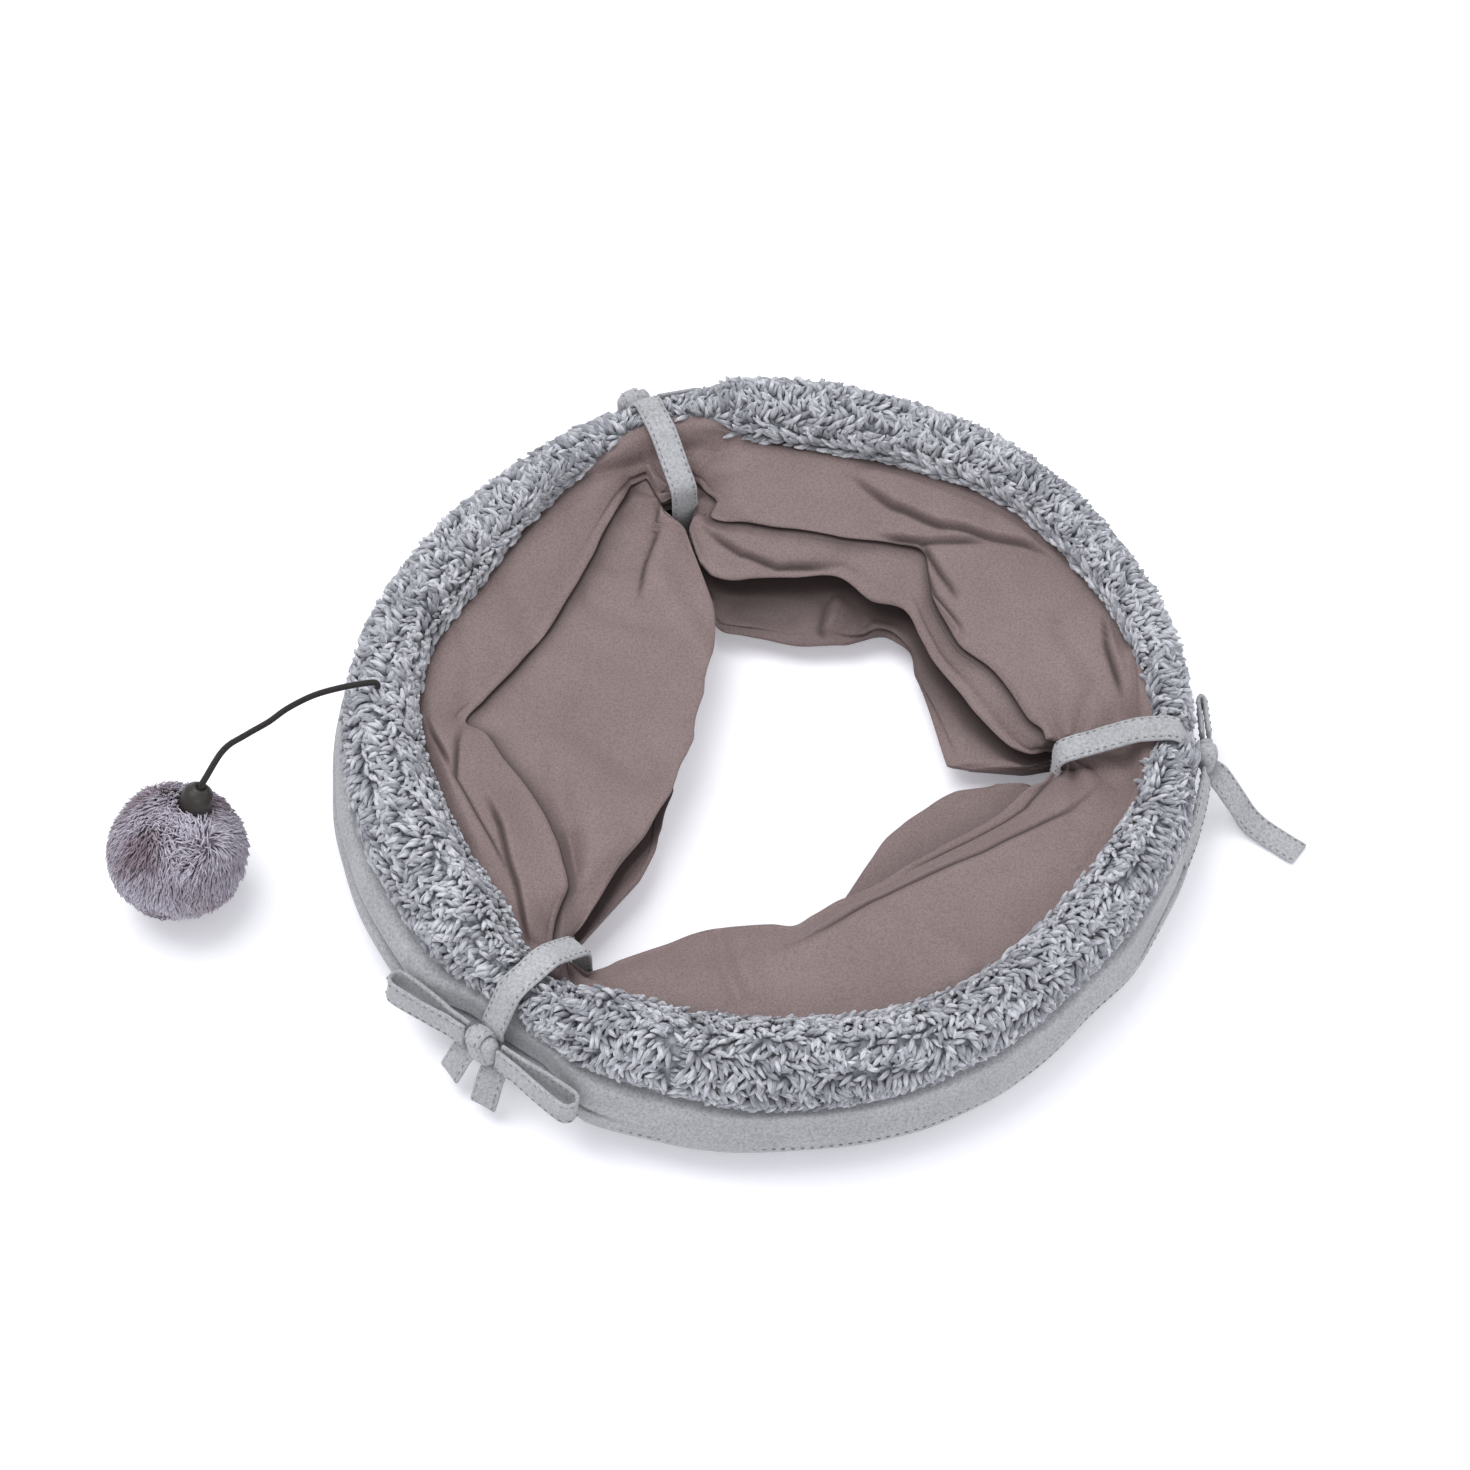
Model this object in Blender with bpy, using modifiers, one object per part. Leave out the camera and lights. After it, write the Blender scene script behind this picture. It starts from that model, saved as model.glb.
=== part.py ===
"""A folding cat tunnel, pressed flat into a ring and tied up with three straps.

A steel wire coil lies in four level turns. Its top turn runs in a fleece collar, its bottom turn in
a hem, and the two turns between them in woven sleeves. The cover and the lining fold inwards
between the turns, and a plush ball hangs on a cord from the collar.
"""

import math

import bmesh
import bpy
from mathutils import Matrix, Vector

# Sizes in metres, angles in degrees

# Place of the ring's centre, so that the whole object is centred over the origin
ring_centre_x = 0.0172
ring_centre_y = -0.0033

# Wire coil
coil_radius = 0.128
wire_radius = 0.0012
hem_turn_height = 0.0047
lower_turn_rise = 0.0098
upper_turn_rise = 0.0105
collar_rise = 0.013
lower_turn_height = hem_turn_height + lower_turn_rise
upper_turn_height = lower_turn_height + upper_turn_rise
collar_height = upper_turn_height + collar_rise
climb_start = 258.0
climb_angle = 30.0
wire_overlap_angle = 7.0
wire_side_step = 0.003
points_per_turn = 24
crimp_length = 0.011
crimp_wall = 0.0007

# Cloth
piece_gap = 0.0003
cloth_thickness = 0.0012
lip_gap = 0.0009
tape_wall = 0.0008
tape_corner = 0.0011
ribbon_width = 0.0095
ribbon_thickness = 0.0015

# Fleece collar, as an arch of thick pile that is open below
collar_tube_radius = 0.014
collar_wall = 0.0075
collar_outer_lip_drop = 0.0083
collar_outer_lip_steepest = 38.0
collar_inner_lip_angle = 195.0
collar_radius_shares = (
    (0, 0.995), (15, 0.998), (30, 0.985), (45, 0.982), (60, 0.974), (75, 0.968), (90, 0.975),
    (105, 0.990), (120, 0.990), (135, 0.975), (150, 0.968), (165, 0.978), (180, 0.970),
    (195, 0.945), (210, 0.932), (225, 0.947), (240, 0.962), (255, 0.976), (270, 0.990),
    (285, 0.992), (300, 0.970), (315, 0.950), (330, 0.957), (345, 0.985),
)
collar_tube_shares = (
    (0, 0.78), (20, 0.76), (45, 0.86), (60, 0.96), (80, 1.0), (92, 0.95), (120, 0.86), (135, 1.04),
    (150, 1.12), (165, 1.02), (180, 0.98), (200, 1.0), (220, 0.95), (240, 0.9), (255, 0.96),
    (270, 1.04), (285, 0.98), (300, 0.86), (325, 0.8), (345, 0.8),
)
collar_tie_tube_share = 0.72

# Hem round the lower mouth
hem_half_width = 0.0088
hem_height = 0.0084
hem_wall = 0.0024
hem_chamfer = 0.0026

# Cover
ridge_overhang = 0.016
upper_ridge_shares = (
    (0, 0.8), (20, 0.8), (60, 0.84), (100, 0.84), (140, 0.86), (182, 0.84), (200, 0.92),
    (215, 0.98), (249, 1.0), (270, 0.92), (290, 1.02), (306, 0.9), (315, 0.66), (324, 0.88),
    (335, 0.8), (350, 0.98),
)
lower_ridge_shares = (
    (0, 0.86), (20, 0.86), (60, 0.94), (100, 0.94), (140, 0.94), (182, 0.94), (200, 1.02),
    (215, 1.12), (249, 1.16), (270, 1.0), (290, 1.14), (306, 0.96), (315, 0.7), (324, 0.92),
    (335, 0.84), (350, 1.06),
)
tie_ridge_share = 0.6
fold_sheet_spacing = 0.0017
cover_fold_setback = 0.011
cover_fold_least_radius = 0.062
cover_fold_lift = 0.001
ridge_round_share = 0.18
skirt_height = 0.0045

# Lining, whose three folds reach into the mouth
shoulder_drop = 0.0016
top_fold_drop = 0.0035
fold_root_spacing = 0.0018
fold_rise = 0.0022
fold_swell = 0.0016
fold_least_depth = 0.004
turn_slack = 0.0012
floor_fold_height = 0.0055
top_fold_shares = (
    (5, 0.905), (20, 0.905), (30, 0.89), (40, 0.81), (54, 0.69), (64, 0.625), (73, 0.60),
    (90, 0.617), (97, 0.66), (118, 0.79), (127, 0.70), (135, 0.672), (145, 0.64), (158, 0.633),
    (168, 0.68), (178, 0.765), (183, 0.758), (191, 0.68), (200, 0.625), (214, 0.625), (223, 0.68),
    (243, 0.79), (250, 0.735), (260, 0.695), (272, 0.672), (290, 0.617), (310, 0.578), (325, 0.67),
    (339, 0.797), (346, 0.86),
)
middle_fold_shares = (
    (4, 0.71), (16, 0.64), (33, 0.60), (46, 0.61), (60, 0.57), (72, 0.54), (86, 0.50), (97, 0.53),
    (117, 0.34), (126, 0.27), (135, 0.235), (150, 0.205), (165, 0.195), (181, 0.195), (195, 0.235),
    (205, 0.265), (214, 0.30), (223, 0.38), (243, 0.75), (251, 0.64), (257, 0.594), (269, 0.578),
    (278, 0.586), (289, 0.54), (303, 0.484), (313, 0.46), (323, 0.469), (335, 0.53), (345, 0.66),
)
bottom_fold_shares = (
    (4, 0.46), (18, 0.4375), (32, 0.46), (41, 0.51), (49, 0.515), (63, 0.40), (84, 0.367),
    (99, 0.40), (118, 0.42), (135, 0.33), (150, 0.28), (165, 0.265), (181, 0.258), (195, 0.258),
    (205, 0.273), (215, 0.31), (224, 0.42), (243, 0.73), (257, 0.67), (269, 0.65), (289, 0.62),
    (303, 0.55), (323, 0.52), (335, 0.56), (345, 0.66),
)

# Ties
tie_angles = (355.0, 107.5, 233.5)
tie_skews = (10.0, 5.0, -8.0)
tie_grip_half_angle = 5.0
tie_fold_half_angle = 6.5
tie_free_half_angle = 10.0
tie_fade_half_angle = 14.0
bundle_inner_reaches = (0.0327, 0.0297, 0.0252)
bundle_outer_reach = 0.0117
bundle_inner_radii = tuple(coil_radius - reach for reach in bundle_inner_reaches)
bundle_outer_radius = coil_radius + bundle_outer_reach
bundle_top_rise = 0.0055
bundle_shoulder_drop = 0.01
bundle_tie_top = collar_height + bundle_top_rise
bundle_inner_top = bundle_tie_top - bundle_shoulder_drop
tie_band_low_corner = 0.0045
tie_band_shoulder_corner = 0.006
tie_band_high_corner = 0.0105
tie_fold_clearance = 0.0036
knot_depth = 0.0072
knot_width = 0.012
knot_height = 0.013
knot_corner = 0.0032
knot_centre_height = 0.0252
bow_gap = 0.0058
tail_floor_clearance = 0.0004
tie_names = ("right", "back", "front")
# Name, tie, side, length, gap at the tip, lean outwards, tilt of the face, droop, rise above the knot's middle
bows = (
    ("right_tie_bow", 0, 1, 0.019, 0.0024, 9.0, 8.0, 0.0, 0.001),
    ("back_tie_bow_left", 1, 1, 0.018, 0.0044, 4.0, 8.0, 16.0, 0.002),
    ("back_tie_bow_right", 1, -1, 0.018, 0.0044, -3.0, 8.0, 16.0, 0.002),
    ("front_tie_bow_left", 2, -1, 0.0305, 0.0058, 7.9, 12.0, 0.0, 0.0),
    ("front_tie_bow_right", 2, 1, 0.0305, 0.0058, -6.0, 12.0, 0.0, 0.0),
)
# Name, tie, side, length, lean outwards, tilt of the face, droop and rise above the knot's middle
side_ends = (
    ("right_tie_tail_short", 0, -1, 0.034, -5.0, 20.0, 0.0, -0.001),
)
long_tail_shares = ((0.0, 0.0), (0.14, 0.04), (0.31, 0.45), (0.5, 0.88), (0.72, 1.0), (1.0, 1.0))
short_tail_shares = ((0.0, 0.0), (0.3, 0.04), (0.6, 0.35), (0.82, 0.72), (1.0, 1.0))
# Name, tie, run, reach outwards, turn from straight outwards and shift along the ring
tails = (
    ("right_tie_tail_long", 0, long_tail_shares, 0.039, -42.0, 0.0),
    ("back_tie_tail_left", 1, short_tail_shares, 0.012, 12.0, -0.0056),
    ("back_tie_tail_right", 1, short_tail_shares, 0.012, -12.0, 0.0056),
    ("front_tie_tail_left", 2, short_tail_shares, 0.012, -12.0, 0.0056),
    ("front_tie_tail_right", 2, short_tail_shares, 0.012, 12.0, -0.0056),
)

# Toy ball and its cord
cord_radius = 0.00105
ball_centre = (-0.1902, -0.0433, 0.0235)
ball_radius = 0.0228
ball_filling_radius = 0.0132
bead_direction = (0.36, 0.30, 0.883)
bead_distance = 0.0215
bead_length = 0.014
bead_radius = 0.005
bead_bore_depth = 0.004
axis_merge_distance = 0.00001
bead_profile_shares = (
    (0.5, 1.0), (0.82, 0.78), (0.98, 0.3), (1.0, -0.05), (0.9, -0.5), (0.66, -0.86), (0.4, -1.0),
)
cord_exit_angle = 179.4
cord_exit_lean = 84.0
cord_exit_rise = 0.002
cord_route = (
    (-0.1280, 0.0007, 0.0553), (-0.1366, -0.0002, 0.0540), (-0.1461, -0.0013, 0.0510),
    (-0.1546, -0.0047, 0.0485), (-0.1604, -0.0094, 0.0478), (-0.1674, -0.0150, 0.0485),
    (-0.1735, -0.0226, 0.0515),
)

# How many sections each woven ring has from one tie to the next, as shares of that stretch
stretch_shares = (
    0.0, 0.042, 0.075, 0.12, 0.21, 0.32, 0.43, 0.54, 0.65, 0.77, 0.88, 0.925, 0.958,
)


def clear_scene():
    for obj in list(bpy.data.objects):
        bpy.data.objects.remove(obj, do_unlink=True)


def make_collection(name):
    collection = bpy.data.collections.new(name)
    bpy.context.scene.collection.children.link(collection)
    return collection


def make_material(name, colour, roughness, metallic=0.0):
    material = bpy.data.materials.new(name)
    material.use_nodes = True
    shader = material.node_tree.nodes["Principled BSDF"]
    shader.inputs["Base Color"].default_value = (*colour, 1.0)
    shader.inputs["Roughness"].default_value = roughness
    shader.inputs["Metallic"].default_value = metallic
    material.diffuse_color = (*colour, 1.0)
    return material


def place(obj, collection, material, parent, smooth_angle=None):
    """Links an object, gives it its material and hangs it on its parent."""
    collection.objects.link(obj)
    obj.data.materials.append(material)
    obj.parent = parent
    if smooth_angle is not None:
        obj.data.shade_smooth()
        obj.data.set_sharp_from_angle(angle=math.radians(smooth_angle))
    return obj


def make_empty(name, location, collection, parent=None):
    empty = bpy.data.objects.new(name, None)
    empty.location = location
    empty.parent = parent
    collection.objects.link(empty)
    return empty


def turned(angle_gap):
    """An angle brought between -180 and 180 degrees."""
    return (angle_gap + 180.0) % 360.0 - 180.0


def eased(share):
    share = min(1.0, max(0.0, share))
    return share * share * (3.0 - 2.0 * share)


def at_angle(shares, angle):
    """The value of a table of (angle, share) at any angle round the ring."""
    angle = angle % 360.0
    for number, (start, value) in enumerate(shares):
        end, next_value = shares[(number + 1) % len(shares)]
        width = (end - start) % 360.0
        along = (angle - start) % 360.0
        if along <= width:
            return value + (next_value - value) * eased(along / width)
    return shares[0][1]


def tie_grip(angle, full, none):
    """1 within the first half angle of a tie, 0 past the second."""
    nearest = min(abs(turned(angle - tie)) for tie in tie_angles)
    return 1.0 - eased((nearest - full) / (none - full))


def nearest_tie(angle):
    return min(range(len(tie_angles)), key=lambda number: abs(turned(angle - tie_angles[number])))


def squeezed(height, angle):
    """A height in the bundle, which the ties press together and lift off the floor."""
    grip = tie_grip(angle, tie_grip_half_angle, tie_fade_half_angle)
    floor = ribbon_thickness + piece_gap
    full_height = collar_height + collar_tube_radius * collar_tie_tube_share
    pressed = floor + height * (bundle_tie_top - piece_gap - floor) / full_height
    return height + (pressed - height) * grip


def ring_point(radius, height, angle):
    turn = math.radians(angle)
    return Vector((radius * math.cos(turn), radius * math.sin(turn), squeezed(height, angle)))


def section_angles(shares):
    """Angles of the sections, closer together beside the ties."""
    angles = []
    for number, start in enumerate(tie_angles):
        end = tie_angles[(number + 1) % len(tie_angles)]
        width = (end - start) % 360.0
        angles += [start + width * share for share in shares]
    return angles


def skin(body, sections, closed):
    """Lays faces between sections of equal point counts and returns their rows of vertices."""
    rows = [[body.verts.new(point) for point in section] for section in sections]
    count = len(rows[0])
    for number in range(len(rows) if closed else len(rows) - 1):
        here, there = rows[number], rows[(number + 1) % len(rows)]
        for side in range(count):
            after = (side + 1) % count
            body.faces.new((here[side], here[after], there[after], there[side]))
    return rows


def object_from(name, body):
    mesh = bpy.data.meshes.new(name)
    bmesh.ops.triangulate(body, faces=body.faces)
    bmesh.ops.recalc_face_normals(body, faces=body.faces)
    body.to_mesh(mesh)
    body.free()
    return bpy.data.objects.new(name, mesh)


def ring_loft(name, sections):
    """A closed skin through sections all the way round the ring."""
    body = bmesh.new()
    skin(body, sections, True)
    return object_from(name, body)


def sleeve_loft(name, outer_sections, inner_sections):
    """A sleeve that is open at both ends, through sections of its outer and its inner side."""
    body = bmesh.new()
    outer = skin(body, outer_sections, False)
    inner = skin(body, inner_sections, False)
    count = len(outer[0])
    for end in (0, -1):
        for side in range(count):
            after = (side + 1) % count
            body.faces.new((outer[end][side], outer[end][after], inner[end][after], inner[end][side]))
    return object_from(name, body)


def sheet_outline(line, thickness):
    """The closed outline of a sheet of cloth, from the (radius, height) points of its middle."""
    points = [Vector(point) for point in line]
    outer, inner = [], []
    for number, point in enumerate(points):
        before = points[max(number - 1, 0)]
        after = points[min(number + 1, len(points) - 1)]
        run_in = (point - before).normalized() if number else (after - point).normalized()
        run_out = (after - point).normalized() if after != point else run_in
        normal = Vector((run_in.y + run_out.y, -run_in.x - run_out.x))
        normal.normalize()
        square = Vector((run_out.y, -run_out.x))
        widen = min(1.0 / max(normal.dot(square), 0.5), 2.0)
        outer.append(point + normal * thickness / 2 * widen)
        inner.append(point - normal * thickness / 2 * widen)
    return outer + inner[::-1]


def flat_outline_object(name, outlines, half_depth):
    """A plate whose outlines lie in its own XY plane."""
    curve = bpy.data.curves.new(name, "CURVE")
    curve.dimensions = "2D"
    curve.fill_mode = "BOTH"
    curve.extrude = half_depth
    for outline in outlines:
        spline = curve.splines.new("POLY")
        spline.points.add(len(outline) - 1)
        for control, point in zip(spline.points, outline):
            control.co = (point[0], point[1], 0.0, 1.0)
        spline.use_cyclic_u = True
    return bpy.data.objects.new(name, curve)


def tube_object(name, points, radius, resolution):
    curve = bpy.data.curves.new(name, "CURVE")
    curve.dimensions = "3D"
    curve.bevel_depth = radius
    curve.bevel_resolution = resolution
    curve.use_fill_caps = True
    spline = curve.splines.new("POLY")
    spline.points.add(len(points) - 1)
    for control, point in zip(spline.points, points):
        control.co = (*point, 1.0)
    return bpy.data.objects.new(name, curve)


def smooth_route(points, steps):
    """Points along a smooth curve through the given ones."""
    points = [Vector(point) for point in points]
    route = []
    for number in range(len(points) - 1):
        start, end = points[number], points[number + 1]
        before = points[number - 1] if number else start * 2 - end
        after = points[number + 2] if number + 2 < len(points) else end * 2 - start
        for step in range(steps):
            t = step / steps
            route.append(
                0.5 * (
                    2 * start + (end - before) * t
                    + (2 * before - 5 * start + 4 * end - after) * t ** 2
                    + (3 * start - before - 3 * end + after) * t ** 3
                )
            )
    return route + [points[-1]]


# Wire coil

def collar_radius_at(angle):
    return coil_radius * at_angle(collar_radius_shares, angle)


def turn_radius(level, angle):
    """Levels count from 0 at the hem to 3 in the collar."""
    return collar_radius_at(angle) if level == 3 else coil_radius


def turn_stops():
    """Angles of the wire's points in one turn, from the place where each climb ends."""
    even = [360.0 * number / points_per_turn for number in range(points_per_turn)]
    stops = [angle for angle in even if angle < 360.0 - climb_angle]
    for tie in tie_angles:
        middle = (tie - climb_start - climb_angle) % 360.0
        stops = [angle for angle in stops if abs(angle - middle) > tie_fade_half_angle + 4]
        for half in (tie_grip_half_angle, tie_fade_half_angle):
            stops += [middle - half, middle + half]
    stops += [wire_overlap_angle, 360.0 - climb_angle - wire_overlap_angle]
    stops += [360.0 - climb_angle * number / 6 for number in range(1, 7)]
    return sorted(set(stops))


def coil_point(along):
    """The wire's middle at an angle counted along it from the end of the hem's turn start."""
    heights = (hem_turn_height, lower_turn_height, upper_turn_height, collar_height)
    level = max(0, min(3, int(along // 360.0)))
    within = along - level * 360.0
    share = (within - 360.0 + climb_angle) / climb_angle
    climbed = eased(share) if level < 3 else 0.0
    upper = min(level + 1, 3)
    angle = climb_start + climb_angle + along
    radius = turn_radius(level, angle)
    radius += (turn_radius(upper, angle) - radius) * climbed
    height = heights[level] + (heights[upper] - heights[level]) * climbed
    if along < 0.0:
        radius -= wire_side_step * (1.0 - eased((along + climb_angle * 0.7) / (climb_angle * 0.6)))
    if level == 3 and share > 0.0:
        radius -= wire_side_step * eased((share - 0.1) / 0.6)
    return ring_point(radius, height, angle)


def coil_points():
    first = -climb_angle - wire_overlap_angle
    last = 4 * 360.0 + wire_overlap_angle
    stops = [level * 360.0 + stop for level in range(-1, 5) for stop in turn_stops()]
    stops = [stop for stop in stops if first < stop < last]
    return [coil_point(stop) for stop in (first, *stops, last)]


def least_gap(points, skip, diameter):
    """The least clear space between a tube and itself, away from neighbouring points."""
    best = math.inf
    steps = 6
    fine = []
    for start, end in zip(points, points[1:]):
        fine += [start.lerp(end, step / steps) for step in range(steps)]
    for first in range(len(fine)):
        for second in range(first + skip * steps, len(fine)):
            best = min(best, (fine[first] - fine[second]).length)
    return best - diameter


def build_coil(collection, parent, steel):
    points = coil_points()
    gap = least_gap(points, points_per_turn // 2, 2 * wire_radius)
    print("least gap of the coil to itself, in mm:", round(gap * 1000, 2))
    return place(tube_object("coil_spring", points, wire_radius, 1), collection, steel, parent)


def crimp_axes(along):
    """Axes midway between the wire's end and the turn beside it, with Z along the wire."""
    ends = [coil_point(along + shift) for shift in (0.0, wire_overlap_angle)]
    beside = [coil_point(along + shift + 360.0) for shift in (0.0, wire_overlap_angle)]
    run = (ends[1] - ends[0]).normalized()
    across = (beside[0] + beside[1] - ends[0] - ends[1]).normalized()
    across = (across - run * across.dot(run)).normalized()
    centre = (ends[0] + ends[1] + beside[0] + beside[1]) / 4
    return Matrix.Translation(centre) @ Matrix((across, run.cross(across), run)).transposed().to_4x4()


def build_crimp(name, along, collection, parent, steel):
    """A sleeve pressed round the wire's end and the turn that it lies against."""
    straight = wire_side_step / 2
    outlines = []
    for radius in (wire_radius + piece_gap + crimp_wall, wire_radius + piece_gap):
        outline = []
        for side in (1, -1):
            for step in range(7):
                turn = math.radians(30 * step - 90)
                outline.append((side * (straight + radius * math.cos(turn)), side * radius * math.sin(turn)))
        outlines.append(outline)
    obj = flat_outline_object(name, outlines, crimp_length / 2)
    obj.matrix_local = crimp_axes(along)
    return place(obj, collection, steel, parent)


# Collar, hem, tapes, cover and lining

def collar_tube_at(angle):
    grip = tie_grip(angle, tie_grip_half_angle, tie_fade_half_angle)
    share = at_angle(collar_tube_shares, angle)
    return collar_tube_radius * (share + (collar_tie_tube_share - share) * grip)


def collar_point(angle, lean, depth):
    """A point in the collar's section, at a lean from outwards and a depth under its surface."""
    radius = collar_tube_at(angle) - depth
    lean = math.radians(lean)
    return Vector((collar_radius_at(angle) + radius * math.cos(lean), collar_height + radius * math.sin(lean)))


def outer_lip_angle(angle):
    """The lean of the collar's outer lip, which ends a set drop below the wire."""
    share = min(1.0, collar_outer_lip_drop / collar_tube_at(angle))
    return max(-math.degrees(math.asin(share)), -collar_outer_lip_steepest)


def build_collar(collection, parent, fleece):
    sections = []
    for angle in section_angles(stretch_shares):
        first = outer_lip_angle(angle)
        span = collar_inner_lip_angle - first
        outer = [collar_point(angle, first + span * n / 9, 0.0) for n in range(10)]
        inner = [collar_point(angle, first + span * n / 5, collar_wall) for n in range(5, -1, -1)]
        sections.append([ring_point(point.x, point.y, angle) for point in outer + inner])
    return place(ring_loft("fleece_collar", sections), collection, fleece, parent, 50)


def hem_outline():
    """The hem's section, a trough that is open above, about the wire's radius."""
    half, wall = hem_half_width, hem_wall
    floor = hem_turn_height - wire_radius - crimp_wall - 2 * piece_gap
    return [
        Vector((-half + wall, hem_height)), Vector((-half + wall * 1.1, floor)),
        Vector((half - wall * 1.1, floor)), Vector((half - wall, hem_height)),
        Vector((half, hem_height)), Vector((half, hem_chamfer)), Vector((half - hem_chamfer, 0.0)),
        Vector((-half + hem_chamfer, 0.0)), Vector((-half, hem_chamfer)), Vector((-half, hem_height)),
    ]


def build_hem(collection, parent, suede):
    sections = []
    for angle in section_angles(stretch_shares):
        sections.append([ring_point(coil_radius + p.x, p.y, angle) for p in hem_outline()])
    return place(ring_loft("lower_hem", sections), collection, suede, parent, 40)


def cut_square(half, corner):
    """A square outline with its corners cut off."""
    short = half - corner
    return [
        (half, short), (short, half), (-short, half), (-half, short),
        (-half, -short), (-short, -half), (short, -half), (half, -short),
    ]


def build_sleeve(name, height, collection, parent, tape):
    """A tape sewn into a sleeve round one turn of the wire, and open where the wire climbs."""
    inner = wire_radius + piece_gap
    outer_sections, inner_sections = [], []
    for stop in turn_stops():
        if stop <= 360.0 - climb_angle:
            angle = climb_start + climb_angle + stop
            for half, corner, sections in (
                (inner + tape_wall, tape_corner, outer_sections),
                (inner, tape_corner - tape_wall, inner_sections),
            ):
                section = cut_square(half, corner)
                sections.append([ring_point(coil_radius + r, height + h, angle) for r, h in section])
    return place(sleeve_loft(name, outer_sections, inner_sections), collection, tape, parent)


def fold_radius(shares, angle):
    grip = tie_grip(angle, tie_fold_half_angle, tie_free_half_angle)
    radius = coil_radius * at_angle(shares, angle)
    return radius + (bundle_inner_radii[nearest_tie(angle)] + tie_fold_clearance - radius) * grip


def climb_grip(angle):
    """1 where the wire steps up a level, fading out beside that stretch."""
    middle = climb_start + climb_angle / 2
    half = climb_angle / 2 + wire_overlap_angle
    return 1.0 - eased((abs(turned(angle - middle)) - half) / tie_fade_half_angle)


def cover_fold_radius(shares, angle):
    """The cover's folds lie inside the lining's, and stay outside the wire where it climbs."""
    radius = max(fold_radius(shares, angle) + cover_fold_setback, cover_fold_least_radius)
    radius = min(radius, coil_radius - 2 * cover_fold_setback / 3)
    clear = coil_radius + wire_radius + piece_gap + tape_wall + cloth_thickness
    return radius + (clear - radius) * climb_grip(angle)


def ridge_radius(shares, angle):
    grip = tie_grip(angle, tie_grip_half_angle, tie_fade_half_angle)
    share = at_angle(shares, angle)
    return coil_radius + ridge_overhang * (share + (tie_ridge_share - share) * grip)


def tape_half_height():
    return wire_radius + piece_gap + tape_wall


def cover_line(angle):
    """The middle of the cover's section, from the collar's outer lip down over the hem."""
    lip = collar_point(angle, outer_lip_angle(angle), cloth_thickness)
    lean = math.radians(outer_lip_angle(angle))
    start = lip + Vector((math.sin(lean), -math.cos(lean))) * (lip_gap + cloth_thickness / 2)
    upper = ridge_radius(upper_ridge_shares, angle)
    lower = ridge_radius(lower_ridge_shares, angle)
    half = fold_sheet_spacing / 2
    top_gap = upper_turn_height + tape_half_height() + piece_gap + cloth_thickness / 2 + half
    middle_gap = (upper_turn_height + lower_turn_height) / 2
    bottom_gap = (lower_turn_height - tape_half_height() + hem_height) / 2
    lift = top_gap + cover_fold_lift
    top = cover_fold_radius(top_fold_shares, angle)
    middle = cover_fold_radius(middle_fold_shares, angle)
    bottom = cover_fold_radius(bottom_fold_shares, angle)
    inset = ridge_round_share * ridge_overhang
    skirt = coil_radius + hem_half_width + piece_gap + cloth_thickness / 2
    return [
        start,
        Vector((top, lift + half)), Vector((top, lift - half)),
        Vector((upper - inset, top_gap - half)),
        Vector((upper, upper_turn_height + half)), Vector((upper, upper_turn_height - half * 2)),
        Vector((upper - inset, middle_gap + half * 2)),
        Vector((middle, middle_gap + half)), Vector((middle, middle_gap - half)),
        Vector((lower - inset, middle_gap - half * 2)),
        Vector((lower, (lower_turn_height * 2 + bottom_gap) / 3)),
        Vector((lower - inset, bottom_gap + half)),
        Vector((bottom, bottom_gap + half)), Vector((bottom, bottom_gap - half)),
        Vector((skirt + piece_gap, bottom_gap - half)),
        Vector((skirt, skirt_height)),
    ]


def lining_line(angle):
    """The middle of the lining's section, from the collar's inner lip down to the hem."""
    lip = collar_point(angle, collar_inner_lip_angle, cloth_thickness)
    lean = math.radians(collar_inner_lip_angle)
    start = lip + Vector((-math.sin(lean), math.cos(lean))) * (lip_gap + cloth_thickness / 2)
    edge = collar_radius_at(angle) - collar_tube_at(angle)
    top = min(fold_radius(top_fold_shares, angle), edge - fold_least_depth)
    middle = fold_radius(middle_fold_shares, angle)
    bottom = fold_radius(bottom_fold_shares, angle)
    beside = coil_radius - tape_half_height() - piece_gap - cloth_thickness / 2 - turn_slack
    half = fold_root_spacing / 2
    shoulder = collar_height - shoulder_drop
    return [
        start,
        Vector((edge - cloth_thickness * 0.6, start.y - cloth_thickness * 0.6)),
        Vector((edge + (top - edge) * 0.4 - cloth_thickness, shoulder)),
        Vector((top + fold_swell, collar_height - top_fold_drop)),
        Vector((top, (collar_height + upper_turn_height) / 2)),
        Vector((top + fold_swell / 2, upper_turn_height + half + fold_rise)),
        Vector((beside, upper_turn_height + half)),
        Vector((beside, upper_turn_height - half)),
        Vector((middle + fold_swell, upper_turn_height - fold_rise)),
        Vector((middle, lower_turn_height + half + fold_swell)),
        Vector((beside, lower_turn_height + half)),
        Vector((beside, lower_turn_height - half)),
        Vector((bottom + fold_swell, lower_turn_height - half - fold_swell / 2)),
        Vector((bottom, (lower_turn_height + floor_fold_height) / 2 - fold_swell / 2)),
        Vector((bottom + fold_swell / 2, floor_fold_height)),
        Vector((coil_radius - hem_half_width - piece_gap, floor_fold_height - fold_swell / 4)),
    ]


def build_cloth(name, line, collection, parent, material):
    sections = []
    for angle in section_angles(stretch_shares):
        outline = sheet_outline(line(angle), cloth_thickness)
        sections.append([ring_point(point.x, point.y, angle) for point in outline])
    return place(ring_loft(name, sections), collection, material, parent, 60)


# Ties

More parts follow.
